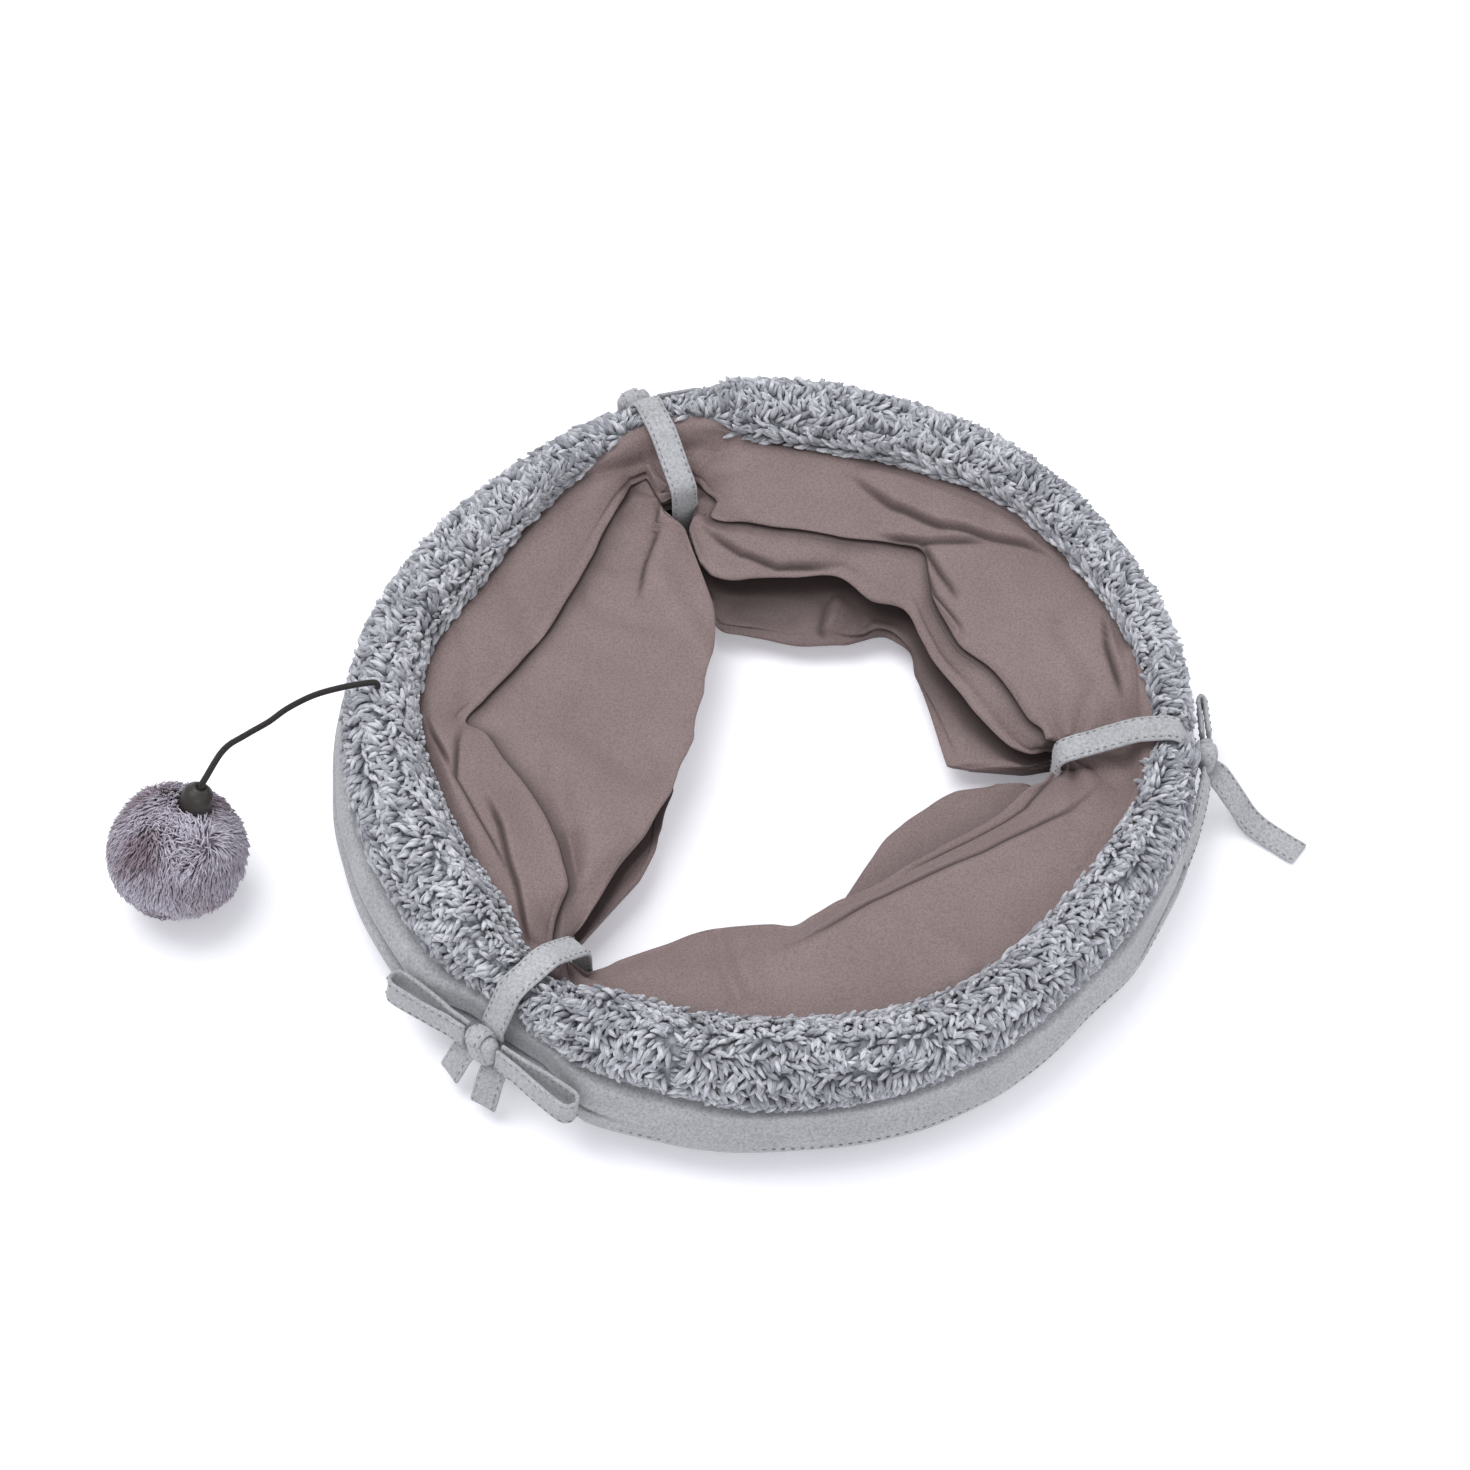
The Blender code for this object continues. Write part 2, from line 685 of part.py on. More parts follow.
def rounded_corners(corners, steps):
    """An outline round ((x, y), radius) corners, given in order."""
    outline = []
    count = len(corners)
    for number, (corner, radius) in enumerate(corners):
        corner = Vector(corner)
        to_last = (Vector(corners[number - 1][0]) - corner).normalized()
        to_next = (Vector(corners[(number + 1) % count][0]) - corner).normalized()
        half = to_last.angle(to_next) / 2
        centre = corner + (to_last + to_next).normalized() * radius / math.sin(half)
        first = corner + to_last * radius / math.tan(half)
        last = corner + to_next * radius / math.tan(half)
        for step in range(steps + 1):
            point = first.lerp(last, step / steps) - centre
            outline.append(centre + point.normalized() * radius)
    return outline


def tie_frame(number, radius, height, turn=0.0):
    """Axes at a tie, with X outwards, Y up and Z along the ring."""
    place_angle = math.radians(tie_angles[number])
    heading = math.radians(tie_angles[number] + tie_skews[number] + turn)
    outward = Vector((math.cos(heading), math.sin(heading), 0.0))
    upward = Vector((0.0, 0.0, 1.0))
    origin = Vector((radius * math.cos(place_angle), radius * math.sin(place_angle), height))
    axes = Matrix((outward, upward, outward.cross(upward))).transposed().to_4x4()
    return Matrix.Translation(origin) @ axes


def bundle_middle_radius(number):
    return (bundle_inner_radii[number] + bundle_outer_radius) / 2


def build_band(name, number, collection, parent, suede):
    """The strap that passes right round the bundle."""
    middle = bundle_middle_radius(number)
    shoulder = collar_radius_at(tie_angles[number]) - collar_tube_at(tie_angles[number]) - middle
    outlines = []
    for grow in (ribbon_thickness, 0.0):
        inner = bundle_inner_radii[number] - middle - grow
        outer = bundle_outer_radius - middle + grow
        low = ribbon_thickness - grow
        high = bundle_tie_top + grow
        inner_high = bundle_inner_top + grow
        outlines.append(rounded_corners((
            ((inner, low), tie_band_low_corner + grow), ((outer, low), tie_band_low_corner + grow),
            ((outer, high), tie_band_high_corner + grow), ((shoulder, high), tie_band_shoulder_corner + grow),
            ((inner, inner_high), tie_band_low_corner + grow),
        ), 5))
    obj = flat_outline_object(name, outlines, ribbon_width / 2)
    obj.matrix_local = tie_frame(number, middle, 0.0)
    return place(obj, collection, suede, parent)


def knot_centre(number):
    """The middle of a knot, which lies against the outer run of its band."""
    reach = bundle_outer_radius - bundle_middle_radius(number) + ribbon_thickness + piece_gap + knot_depth / 2
    return tie_frame(number, bundle_middle_radius(number), knot_centre_height) @ Vector((reach, 0.0, 0.0))


def build_knot(name, number, collection, parent, suede):
    mesh = bpy.data.meshes.new(name)
    body = bmesh.new()
    bmesh.ops.create_cube(body, size=1.0)
    bmesh.ops.scale(body, vec=(knot_depth, knot_height, knot_width), verts=body.verts)
    bmesh.ops.bevel(
        body, geom=body.edges[:], offset=knot_corner, offset_type="OFFSET", segments=3, profile=0.5,
        affect="EDGES", clamp_overlap=True, material=-1,
    )
    body.to_mesh(mesh)
    body.free()
    obj = bpy.data.objects.new(name, mesh)
    frame = tie_frame(number, 0.0, 0.0)
    frame.translation = knot_centre(number)
    obj.matrix_local = frame
    return place(obj, collection, suede, parent, 60)


def knot_pivot_reach():
    """How far from a knot's middle a loop or an end can start and still swing clear of it."""
    corner_x = knot_depth / 2 - knot_corner
    corner_y = knot_width / 2 - knot_corner
    return math.hypot(corner_x, corner_y) + knot_corner + piece_gap


def bow_line(length, gap):
    """The middle of a ribbon that runs out from the knot, turns round and comes back."""
    root = ribbon_thickness / 2 + piece_gap
    tip = gap / 2
    side = []
    for step in range(5):
        share = step / 5
        side.append(Vector(((length - tip) * share, root + (tip - root) * eased(share))))
    turn_points = []
    for step in range(7):
        turn = math.radians(90 - 30 * step)
        turn_points.append(Vector((length - tip + tip * math.cos(turn), tip * math.sin(turn))))
    return side + turn_points + [Vector((point.x, -point.y)) for point in reversed(side)]


def end_line(length):
    """The middle of a single ribbon that runs out from the knot and bends along the bundle."""
    steps = [length * step / 8 for step in range(9)]
    return [Vector((run, -run * run / (2 * bundle_outer_radius))) for run in steps]


def build_side_ribbon(name, number, side, line, lean, tilt, droop, rise, collection, suede):
    """A loop or an end beside the knot, hung on an empty that stands on its hinge line."""
    pivot = make_empty(name + "_pivot", knot_centre(number), collection)
    obj = flat_outline_object(name, [sheet_outline(line, ribbon_thickness)], ribbon_width / 2)
    heading = math.radians(tie_angles[number] + tie_skews[number])
    outward = Vector((math.cos(heading), math.sin(heading), 0.0))
    upward = Vector((0.0, 0.0, 1.0))
    along = upward.cross(outward) * side
    level = along * math.cos(math.radians(lean)) + outward * math.sin(math.radians(lean))
    across = upward.cross(level) * -side
    fall = math.radians(droop)
    run = level * math.cos(fall) - upward * math.sin(fall)
    raised = upward * math.cos(fall) + level * math.sin(fall)
    face = across * math.cos(math.radians(tilt)) + raised * math.sin(math.radians(tilt))
    reach = (knot_pivot_reach() + ribbon_width / 2 * math.sin(fall)) / math.cos(fall)
    start = run * reach + upward * rise
    obj.matrix_local = Matrix.Translation(start) @ Matrix((run, face, run.cross(face))).transposed().to_4x4()
    place(obj, collection, suede, pivot)
    return pivot


def build_tail(name, number, shares, reach, turn, aside, collection, suede):
    """A ribbon end that comes out under the knot and falls to the floor."""
    centre = knot_centre(number)
    pivot = make_empty(name + "_pivot", centre, collection)
    top = -knot_height / 2 - piece_gap - ribbon_thickness / 2
    floor = tail_floor_clearance + ribbon_thickness / 2 - centre.z
    line = smooth_route([Vector((x * reach, top + (floor - top) * y, 0.0)) for x, y in shares], 3)
    outline = sheet_outline([point.to_2d() for point in line], ribbon_thickness)
    obj = flat_outline_object(name, [outline], ribbon_width / 2)
    heading = math.radians(tie_angles[number] + tie_skews[number] + turn)
    outward = Vector((math.cos(heading), math.sin(heading), 0.0))
    upward = Vector((0.0, 0.0, 1.0))
    along = outward.cross(upward)
    obj.matrix_local = Matrix.Translation(along * aside) @ Matrix((outward, upward, along)).transposed().to_4x4()
    place(obj, collection, suede, pivot)
    return pivot


# Toy ball

def ball_axes():
    """Axes at the ball's centre, with Z towards the bead."""
    up = Vector(bead_direction).normalized()
    side = Vector((0.0, 0.0, 1.0)).cross(up).normalized()
    return Matrix.Translation(Vector(ball_centre)) @ Matrix((side, up.cross(side), up)).transposed().to_4x4()


def turned_object(name, profile, steps):
    """A solid turned about Z from (radius, height) points that run down its outer side."""
    mesh = bpy.data.meshes.new(name)
    mesh.from_pydata(
        [(radius, 0.0, height) for radius, height in profile],
        [(number, number + 1) for number in range(len(profile) - 1)],
        [],
    )
    obj = bpy.data.objects.new(name, mesh)
    screw = obj.modifiers.new("turn", "SCREW")
    screw.angle = 2 * math.pi
    screw.steps = steps
    screw.render_steps = steps
    screw.use_merge_vertices = True
    screw.merge_threshold = axis_merge_distance
    screw.use_smooth_shade = True
    return obj


def arc_points(radius, start, end, count):
    """(radius, height) points of an arc, by angle from its top."""
    points = []
    for number in range(count + 1):
        turn = math.radians(start + (end - start) * number / count)
        points.append((radius * abs(math.sin(turn)), radius * math.cos(turn)))
    return points


def build_toy(collection, plush, filling, horn, cord_material):
    axes = ball_axes()
    bead_point = axes @ Vector((0.0, 0.0, bead_distance))
    pivot = make_empty("ball_pivot", bead_point, collection)
    about_pivot = Matrix.Translation(-bead_point) @ axes
    pocket = bead_radius + piece_gap
    inner = ball_filling_radius + piece_gap
    outer_start = math.degrees(math.asin(pocket / ball_radius))
    inner_end = math.degrees(math.asin(pocket / inner))
    profile = arc_points(inner, 180.0, inner_end, 7) + arc_points(ball_radius, outer_start, 180.0, 11)
    cover = turned_object("ball_cover", profile, 18)
    cover.matrix_local = about_pivot
    place(cover, collection, plush, pivot)
    core = turned_object("ball_filling", arc_points(ball_filling_radius, 0.0, 180.0, 8), 14)
    core.matrix_local = about_pivot
    place(core, collection, filling, pivot)

    half = bead_length / 2
    bore = cord_radius + piece_gap
    profile = [(0.0, half - bead_bore_depth), (bore, half - bead_bore_depth), (bore, half)]
    profile += [(bead_radius * width, half * height) for width, height in bead_profile_shares]
    profile += [(0.0, -half)]
    bead = turned_object("cord_bead", profile, 12)
    bead.matrix_local = about_pivot @ Matrix.Translation((0.0, 0.0, bead_distance))
    place(bead, collection, horn, pivot)

    lean = math.radians(cord_exit_lean)
    surface = collar_point(cord_exit_angle, cord_exit_lean, -piece_gap)
    normal = Vector((math.cos(lean), math.sin(lean)))
    exit_points = [surface, surface + normal * cord_exit_rise]
    points = [ring_point(point.x, point.y, cord_exit_angle) for point in exit_points]
    points += [Vector(point) for point in cord_route]
    bead_top = bead_distance + half
    points += [axes @ Vector((0.0, 0.0, bead_top + cord_exit_rise))]
    inside = axes @ Vector((0.0, 0.0, bead_top - bead_bore_depth + piece_gap))
    cord = tube_object("toy_cord", smooth_route(points, 4) + [inside], cord_radius, 2)
    place(cord, collection, cord_material, None)
    print("length of the cord, in mm:", round(1000 * sum((b - a).length for a, b in zip(points, points[1:])), 1))


def main():
    clear_scene()
    collection = make_collection("cat_tunnel")
    fleece = make_material("fleece", (0.42, 0.43, 0.48), 0.95)
    suede = make_material("grey_suede", (0.38, 0.385, 0.38), 0.9)
    microfibre = make_material("taupe_microfibre", (0.27, 0.22, 0.21), 0.8)
    tape = make_material("binding_tape", (0.2, 0.19, 0.19), 0.85)
    steel = make_material("spring_steel", (0.55, 0.55, 0.56), 0.35, 1.0)
    plush = make_material("mauve_plush", (0.36, 0.33, 0.37), 0.95)
    filling = make_material("fibre_filling", (0.85, 0.85, 0.84), 0.95)
    horn = make_material("dark_brown_bead", (0.045, 0.035, 0.03), 0.5)
    cord_material = make_material("dark_elastic", (0.05, 0.045, 0.04), 0.8)

    root = make_empty("tunnel_root", (ring_centre_x, ring_centre_y, 0.0), collection)
    build_coil(collection, root, steel)
    build_crimp("coil_crimp_lower", -climb_angle - wire_overlap_angle, collection, root, steel)
    build_crimp("coil_crimp_upper", 3 * 360.0, collection, root, steel)
    build_sleeve("wire_sleeve_lower", lower_turn_height, collection, root, tape)
    build_sleeve("wire_sleeve_upper", upper_turn_height, collection, root, tape)
    build_collar(collection, root, fleece)
    build_hem(collection, root, suede)
    build_cloth("outer_cover", cover_line, collection, root, suede)
    build_cloth("lining", lining_line, collection, root, microfibre)
    for number, side in enumerate(tie_names):
        build_band(side + "_tie_band", number, collection, root, suede)
        build_knot(side + "_tie_knot", number, collection, root, suede)
    for name, number, side, length, gap, lean, tilt, droop, rise in bows:
        line = bow_line(length, gap)
        build_side_ribbon(name, number, side, line, lean, tilt, droop, rise, collection, suede).parent = root
    for name, number, side, length, lean, tilt, droop, rise in side_ends:
        line = end_line(length)
        build_side_ribbon(name, number, side, line, lean, tilt, droop, rise, collection, suede).parent = root
    for name, number, shares, reach, turn, aside in tails:
        build_tail(name, number, shares, reach, turn, aside, collection, suede).parent = root
    build_toy(collection, plush, filling, horn, cord_material)
    for obj in collection.objects:
        if obj.parent is None and obj is not root:
            obj.parent = root


main()
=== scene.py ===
import math

import bmesh
import bpy
import numpy as np
from mathutils import Matrix, Vector, noise


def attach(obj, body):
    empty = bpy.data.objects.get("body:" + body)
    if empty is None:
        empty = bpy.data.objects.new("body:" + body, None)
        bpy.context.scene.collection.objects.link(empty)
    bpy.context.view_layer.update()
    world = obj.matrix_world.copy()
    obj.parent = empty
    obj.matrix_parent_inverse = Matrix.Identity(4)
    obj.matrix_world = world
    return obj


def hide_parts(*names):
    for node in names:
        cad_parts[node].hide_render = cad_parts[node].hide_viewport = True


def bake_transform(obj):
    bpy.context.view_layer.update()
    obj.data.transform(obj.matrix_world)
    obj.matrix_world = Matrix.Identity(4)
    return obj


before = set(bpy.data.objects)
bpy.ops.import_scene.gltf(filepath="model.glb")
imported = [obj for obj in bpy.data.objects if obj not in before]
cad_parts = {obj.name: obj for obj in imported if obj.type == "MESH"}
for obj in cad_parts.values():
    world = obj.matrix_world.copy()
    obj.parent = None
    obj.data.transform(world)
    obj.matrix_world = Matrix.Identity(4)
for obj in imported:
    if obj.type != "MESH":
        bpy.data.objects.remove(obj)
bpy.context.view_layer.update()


# Studio
# A pale sweep under and behind the tunnel, a large overhead lamp with two weaker ones beside it,
# and a camera that looks down on the ring from 57 degrees above the floor.

scene = bpy.context.scene
scene.view_settings.view_transform = "Standard"
ring_x = 0.0172
ring_y = -0.0033

camera_data = bpy.data.cameras.new("studio_camera")
camera_data.lens = 85.0
camera_data.sensor_width = 36.0
camera = bpy.data.objects.new("studio_camera", camera_data)
camera.location = (ring_x - 0.01042, ring_y - 0.62115, 0.98197)
camera.rotation_euler = (math.radians(33.0), 0.0, 0.0)
scene.collection.objects.link(camera)
scene.camera = camera


def linear(colour):
    """An sRGB hex colour as linear values."""
    parts = [int(colour[i:i + 2], 16) / 255.0 for i in (1, 3, 5)]
    return tuple(p / 12.92 if p <= 0.04045 else ((p + 0.055) / 1.055) ** 2.4 for p in parts) + (1.0,)


def add_node(tree, kind, settings=None, **links):
    """A new node with its settings, its values and its incoming links."""
    node = tree.nodes.new(kind)
    for name, value in (settings or {}).items():
        setattr(node, name, value)
    for name, value in links.items():
        socket = node.inputs[int(name[1:])] if name[0] == "i" and name[1:].isdigit() else node.inputs[name.replace("_", " ")]
        if isinstance(value, bpy.types.NodeSocket):
            tree.links.new(value, socket)
        else:
            socket.default_value = value
    return node


def material(name, roughness=0.9, sheen=0.0, sheen_roughness=0.5, specular=0.3):
    """A new material with its node tree and its shader."""
    made = bpy.data.materials.new(name)
    made.use_nodes = True
    shader = made.node_tree.nodes["Principled BSDF"]
    shader.inputs["Roughness"].default_value = roughness
    shader.inputs["Sheen Weight"].default_value = sheen
    shader.inputs["Sheen Roughness"].default_value = sheen_roughness
    shader.inputs["Specular IOR Level"].default_value = specular
    return made, made.node_tree, shader


def lamp(name, place, aim, size, power):
    """A square soft lamp that looks at a point."""
    data = bpy.data.lights.new(name, "AREA")
    data.shape = "RECTANGLE"
    data.size = size[0]
    data.size_y = size[1]
    data.energy = power
    obj = bpy.data.objects.new(name, data)
    obj.location = place
    obj.rotation_euler = (Vector(aim) - Vector(place)).to_track_quat("-Z", "Y").to_euler()
    scene.collection.objects.link(obj)


lamp("overhead_lamp", (-0.5, 0.35, 1.7), (0.0, 0.0, 0.0), (1.3, 1.3), 21.0)
lamp("front_lamp", (0.3, -1.5, 1.1), (0.0, 0.0, 0.0), (1.2, 0.9), 7.0)
lamp("side_lamp", (1.5, 0.3, 0.9), (0.0, 0.0, 0.0), (0.8, 1.0), 4.0)

world = bpy.data.worlds.new("studio_air")
world.use_nodes = True
world.node_tree.nodes["Background"].inputs["Color"].default_value = linear("#F7F8FC")
world.node_tree.nodes["Background"].inputs["Strength"].default_value = 0.62
scene.world = world

floor_mesh = bpy.data.meshes.new("studio_floor")
body = bmesh.new()
bmesh.ops.create_grid(body, x_segments=2, y_segments=2, size=4.0)
body.to_mesh(floor_mesh)
body.free()
studio_floor = bpy.data.objects.new("studio_floor", floor_mesh)
scene.collection.objects.link(studio_floor)
paper, tree, shader = material("studio_paper", 0.8, specular=0.2)
shader.inputs["Base Color"].default_value = linear("#F4F4F8")
light_path = add_node(tree, "ShaderNodeLightPath")
lift = add_node(tree, "ShaderNodeMath", {"operation": "MULTIPLY"}, i0=light_path.outputs["Is Camera Ray"], i1=0.23)
shader.inputs["Emission Color"].default_value = linear("#F8F7FF")
tree.links.new(lift.outputs[0], shader.inputs["Emission Strength"])
floor_mesh.materials.append(paper)


# Toy cord
# A thin elastic cord with a dark woven skin. One end is sewn into the collar's fleece, and the
# other is held in the ball's moulded bead, so the cord arches out and lies down to the floor.

cord_radius = 0.00105
cord_exit = (-0.108424, -0.001984, 0.051946)
cord_route = (
    (-0.1280, 0.0007, 0.0553), (-0.1366, -0.0002, 0.0540), (-0.1461, -0.0013, 0.0510),
    (-0.1546, -0.0047, 0.0485), (-0.1604, -0.0094, 0.0478), (-0.1674, -0.0150, 0.0485),
    (-0.1735, -0.0226, 0.0515),
)
bead_place = Vector((-0.165257, -0.040148, 0.042491))
bead_way = Vector((0.36, 0.30, 0.883)).normalized()
bead_half = 0.007
bead_bore_depth = 0.004
cord_lead = 0.002
fit_gap = 0.0003


def through(points, steps):
    """Points of a smooth curve through the given ones."""
    points = [Vector(point) for point in points]
    route = []
    for number in range(len(points) - 1):
        start, end = points[number], points[number + 1]
        before = points[number - 1] if number else start * 2 - end
        after = points[number + 2] if number + 2 < len(points) else end * 2 - start
        for step in range(steps):
            t = step / steps
            route.append(0.5 * (
                2 * start + (end - before) * t + (2 * before - 5 * start + 4 * end - after) * t ** 2
                + (3 * start - before - 3 * end + after) * t ** 3
            ))
    return route + [points[-1]]


exit_point = Vector(cord_exit)
cord_points = [exit_point, Vector((-0.10864, -0.00198, 0.05394))]
cord_points += [Vector((x + ring_x, y + ring_y, z)) for x, y, z in cord_route]
cord_points += [bead_place + bead_way * (bead_half + cord_lead)]
cord_line = through(cord_points, 5)
cord_line += [bead_place + bead_way * (bead_half - bead_bore_depth + fit_gap)]
cord_curve = bpy.data.curves.new("elastic_cord", "CURVE")
cord_curve.dimensions = "3D"
spline = cord_curve.splines.new("POLY")
spline.points.add(len(cord_line) - 1)
for point, place in zip(spline.points, cord_line):
    point.co = (*place, 1.0)
cord_curve.bevel_depth = cord_radius
cord_curve.bevel_resolution = 3
cord_curve.use_fill_caps = True
elastic_cord = bpy.data.objects.new("elastic_cord", cord_curve)
scene.collection.objects.link(elastic_cord)

woven_elastic, tree, shader = material("woven_elastic", 0.7, sheen=0.15)
where = add_node(tree, "ShaderNodeTexCoord")
braid = add_node(tree, "ShaderNodeTexVoronoi", {"feature": "DISTANCE_TO_EDGE"}, Vector=where.outputs["Object"], Scale=1900.0)
tint = add_node(tree, "ShaderNodeValToRGB", i0=braid.outputs["Distance"])
tint.color_ramp.elements[0].color = linear("#161313")
tint.color_ramp.elements[1].color = linear("#363031")
tint.color_ramp.elements[1].position = 0.35
tree.links.new(tint.outputs["Color"], shader.inputs["Base Color"])
relief = add_node(tree, "ShaderNodeBump", Strength=0.5, Distance=0.0001, Height=braid.outputs["Distance"])
tree.links.new(relief.outputs["Normal"], shader.inputs["Normal"])
cord_curve.materials.append(woven_elastic)

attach(elastic_cord, "toy_line")
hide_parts("toy_cord")


# Fleece collar
# A ring of sherpa fleece sewn round the top turn of the wire. Its backing is a soft knitted
# tube that is open below, and its pile is curled into ropes of 3 to 5 mm in greys and white.

coil_radius = 0.128
collar_height = 0.038
collar_tube_radius = 0.014
collar_tie_share = 0.72
collar_radius_shares = (
    (0, 1.012), (15, 1.020), (30, 0.995), (45, 0.998), (60, 0.975), (75, 0.955), (90, 0.976),
    (105, 0.992), (120, 0.973), (135, 0.943), (150, 0.943), (165, 0.978), (180, 0.983),
    (195, 0.966), (210, 0.956), (225, 0.972), (240, 0.986), (255, 0.991), (270, 1.000),
    (285, 1.012), (300, 1.013), (315, 0.994), (330, 1.002), (345, 1.022), (355, 1.012),
)
collar_tube_shares = (
    (0, 0.66), (15, 0.58), (30, 0.66), (45, 0.7), (60, 0.86), (80, 0.93), (92, 0.88), (120, 0.57), (135, 0.74),
    (150, 0.93), (165, 0.84), (180, 0.89), (195, 1.08), (210, 1.05), (225, 1.02), (240, 0.96), (255, 0.93),
    (270, 1.05), (285, 0.95), (300, 0.84), (325, 0.8), (345, 0.78),
)
tie_angles = (355.0, 107.5, 233.5)
grip_full, grip_gone = 5.0, 14.0
tie_top = 0.0435
strap_thickness = 0.0015
outer_lip_lean = -38.0
inner_lip_lean = 195.0
backing_depth = 0.0026
backing_thickness = 0.0042


def eased(share):
    share = np.clip(share, 0.0, 1.0)
    return share * share * (3.0 - 2.0 * share)


def round_ring(shares, angle, blur=3.5):
    """The value of a table of (angle, share) at angles round the ring, with its corners rounded."""
    fine = np.arange(0.0, 360.0, 0.5)
    values = np.interp(fine, [a for a, _ in shares], [s for _, s in shares], period=360.0)
    reach = np.minimum(fine, 360.0 - fine)
    weights = np.exp(-0.5 * (reach / blur) ** 2)
    values = np.fft.irfft(np.fft.rfft(values) * np.fft.rfft(weights / weights.sum()), len(fine))
    return np.interp(angle, fine, values, period=360.0)


def tie_grip(angle, full=grip_full, gone=grip_gone):
    """1 within the first half angle of a tie, 0 past the second."""
    away = np.min([np.abs((angle - tie + 180.0) % 360.0 - 180.0) for tie in tie_angles], axis=0)
    return 1.0 - eased((away - full) / (gone - full))


def squeezed(height, angle):
    """A height in the bundle, which the ties press together and lift off the floor."""
    base = strap_thickness + fit_gap
    full_height = collar_height + collar_tube_radius * collar_tie_share
    pressed = base + height * (tie_top - fit_gap - base) / full_height
    return height + (pressed - height) * tie_grip(angle)


def ring_place(radius, height, angle):
    """Points in the frame from radii, heights and angles round the ring."""
    turn = np.radians(angle)
    radius, height, turn = np.broadcast_arrays(radius, height, turn)
    flat = (ring_x + radius * np.cos(turn), ring_y + radius * np.sin(turn), squeezed(height, np.degrees(turn)))
    return np.stack(flat, axis=-1)


def collar_radius_at(angle):
    return coil_radius * round_ring(collar_radius_shares, angle)


def collar_tube_at(angle):
    share = round_ring(collar_tube_shares, angle)
    return collar_tube_radius * (share + (collar_tie_share - share) * tie_grip(angle))


def lining_top_lean(angle):
    """The lean at which the lining leaves the collar: at the ties it is drawn up over the fleece."""
    drawn_up = (
        (0, 0.75), (8, 0.5), (14, 0.12), (20, 0), (88, 0), (93, 0.12), (97.5, 0.55), (102, 0.93), (113, 0.93),
        (117.5, 0.5), (122, 0.1), (126, 0), (285, 0), (300, 0.2), (330, 0.35), (345, 0.5), (355, 0.85),
    )
    return 200.0 - 100.0 * round_ring(drawn_up, angle, 1.5)


def collar_place(angle, lean, depth):
    """Points at a lean from outwards and a depth under the collar's surface."""
    tube = collar_tube_at(angle) - depth
    turn = np.radians(lean)
    return ring_place(collar_radius_at(angle) + tube * np.cos(turn), collar_height + tube * np.sin(turn), angle)


def ring_grid(name, rows, steps, closed_profile):
    """A ring of rows by steps vertices, with the row and the angle of each one."""
    spans = rows if closed_profile else rows - 1
    body = bmesh.new()
    bmesh.ops.create_grid(body, x_segments=steps, y_segments=spans, size=0.5)
    places = [(round((vert.co.x + 0.5) * steps), round((vert.co.y + 0.5) * spans)) for vert in body.verts]
    verts = dict(zip(places, body.verts))
    seams = {
        vert: verts[step % steps, row % rows] for (step, row), vert in verts.items() if step == steps or row == rows
    }
    bmesh.ops.weld_verts(body, targetmap=seams)
    mesh = bpy.data.meshes.new(name)
    body.to_mesh(mesh)
    body.free()
    flat = np.empty(len(mesh.vertices) * 3, np.float32)
    mesh.vertices.foreach_get("co", flat)
    flat = flat.reshape(-1, 3).astype(float) + 0.5
    return mesh, np.rint(flat[:, 1] * spans).astype(int), np.rint(flat[:, 0] * steps) * 360.0 / steps


def shaped(mesh, places):
    """The mesh as a smooth object, with its vertices at the given places and its normals outwards."""
    mesh.vertices.foreach_set("co", np.ascontiguousarray(places, dtype=np.float32).reshape(-1))
    body = bmesh.new()
    body.from_mesh(mesh)
    bmesh.ops.recalc_face_normals(body, faces=body.faces)
    body.to_mesh(mesh)
    body.free()
    mesh.shade_smooth()
    mesh.update()
    obj = bpy.data.objects.new(mesh.name, mesh)
    scene.collection.objects.link(obj)
    return obj


outer_count, inner_count, collar_steps = 34, 14, 480
mesh, number, angle = ring_grid("collar_backing", outer_count + inner_count, collar_steps, True)
outer_share = np.minimum(number, outer_count - 1) / (outer_count - 1)
inner_share = np.clip((outer_count + inner_count - 1 - number) / (inner_count - 1), 0.0, 1.0)
is_outer = number < outer_count
lean_span = inner_lip_lean - outer_lip_lean
lean = outer_lip_lean + lean_span * np.where(is_outer, outer_share, inner_share)
depth = np.where(is_outer, backing_depth, backing_depth + backing_thickness)
collar_backing = shaped(mesh, collar_place(angle, lean, depth))

fleece_knit, tree, shader = material("fleece_knit", 1.0, sheen=0.2)
where = add_node(tree, "ShaderNodeTexCoord")
clumps = add_node(tree, "ShaderNodeTexNoise", Vector=where.outputs["Object"], Scale=420.0, Detail=4.0)
tint = add_node(tree, "ShaderNodeValToRGB", i0=clumps.outputs["Fac"])
tint.color_ramp.elements[0].color = linear("#565A61")
tint.color_ramp.elements[0].position = 0.3
tint.color_ramp.elements[1].color = linear("#9DA1A8")
tint.color_ramp.elements[1].position = 0.7
tree.links.new(tint.outputs["Color"], shader.inputs["Base Color"])
relief = add_node(tree, "ShaderNodeBump", Strength=0.8, Distance=0.0008, Height=clumps.outputs["Fac"])
tree.links.new(relief.outputs["Normal"], shader.inputs["Normal"])
collar_backing.data.materials.append(fleece_knit)
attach(collar_backing, "top_mouth")
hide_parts("fleece_collar")


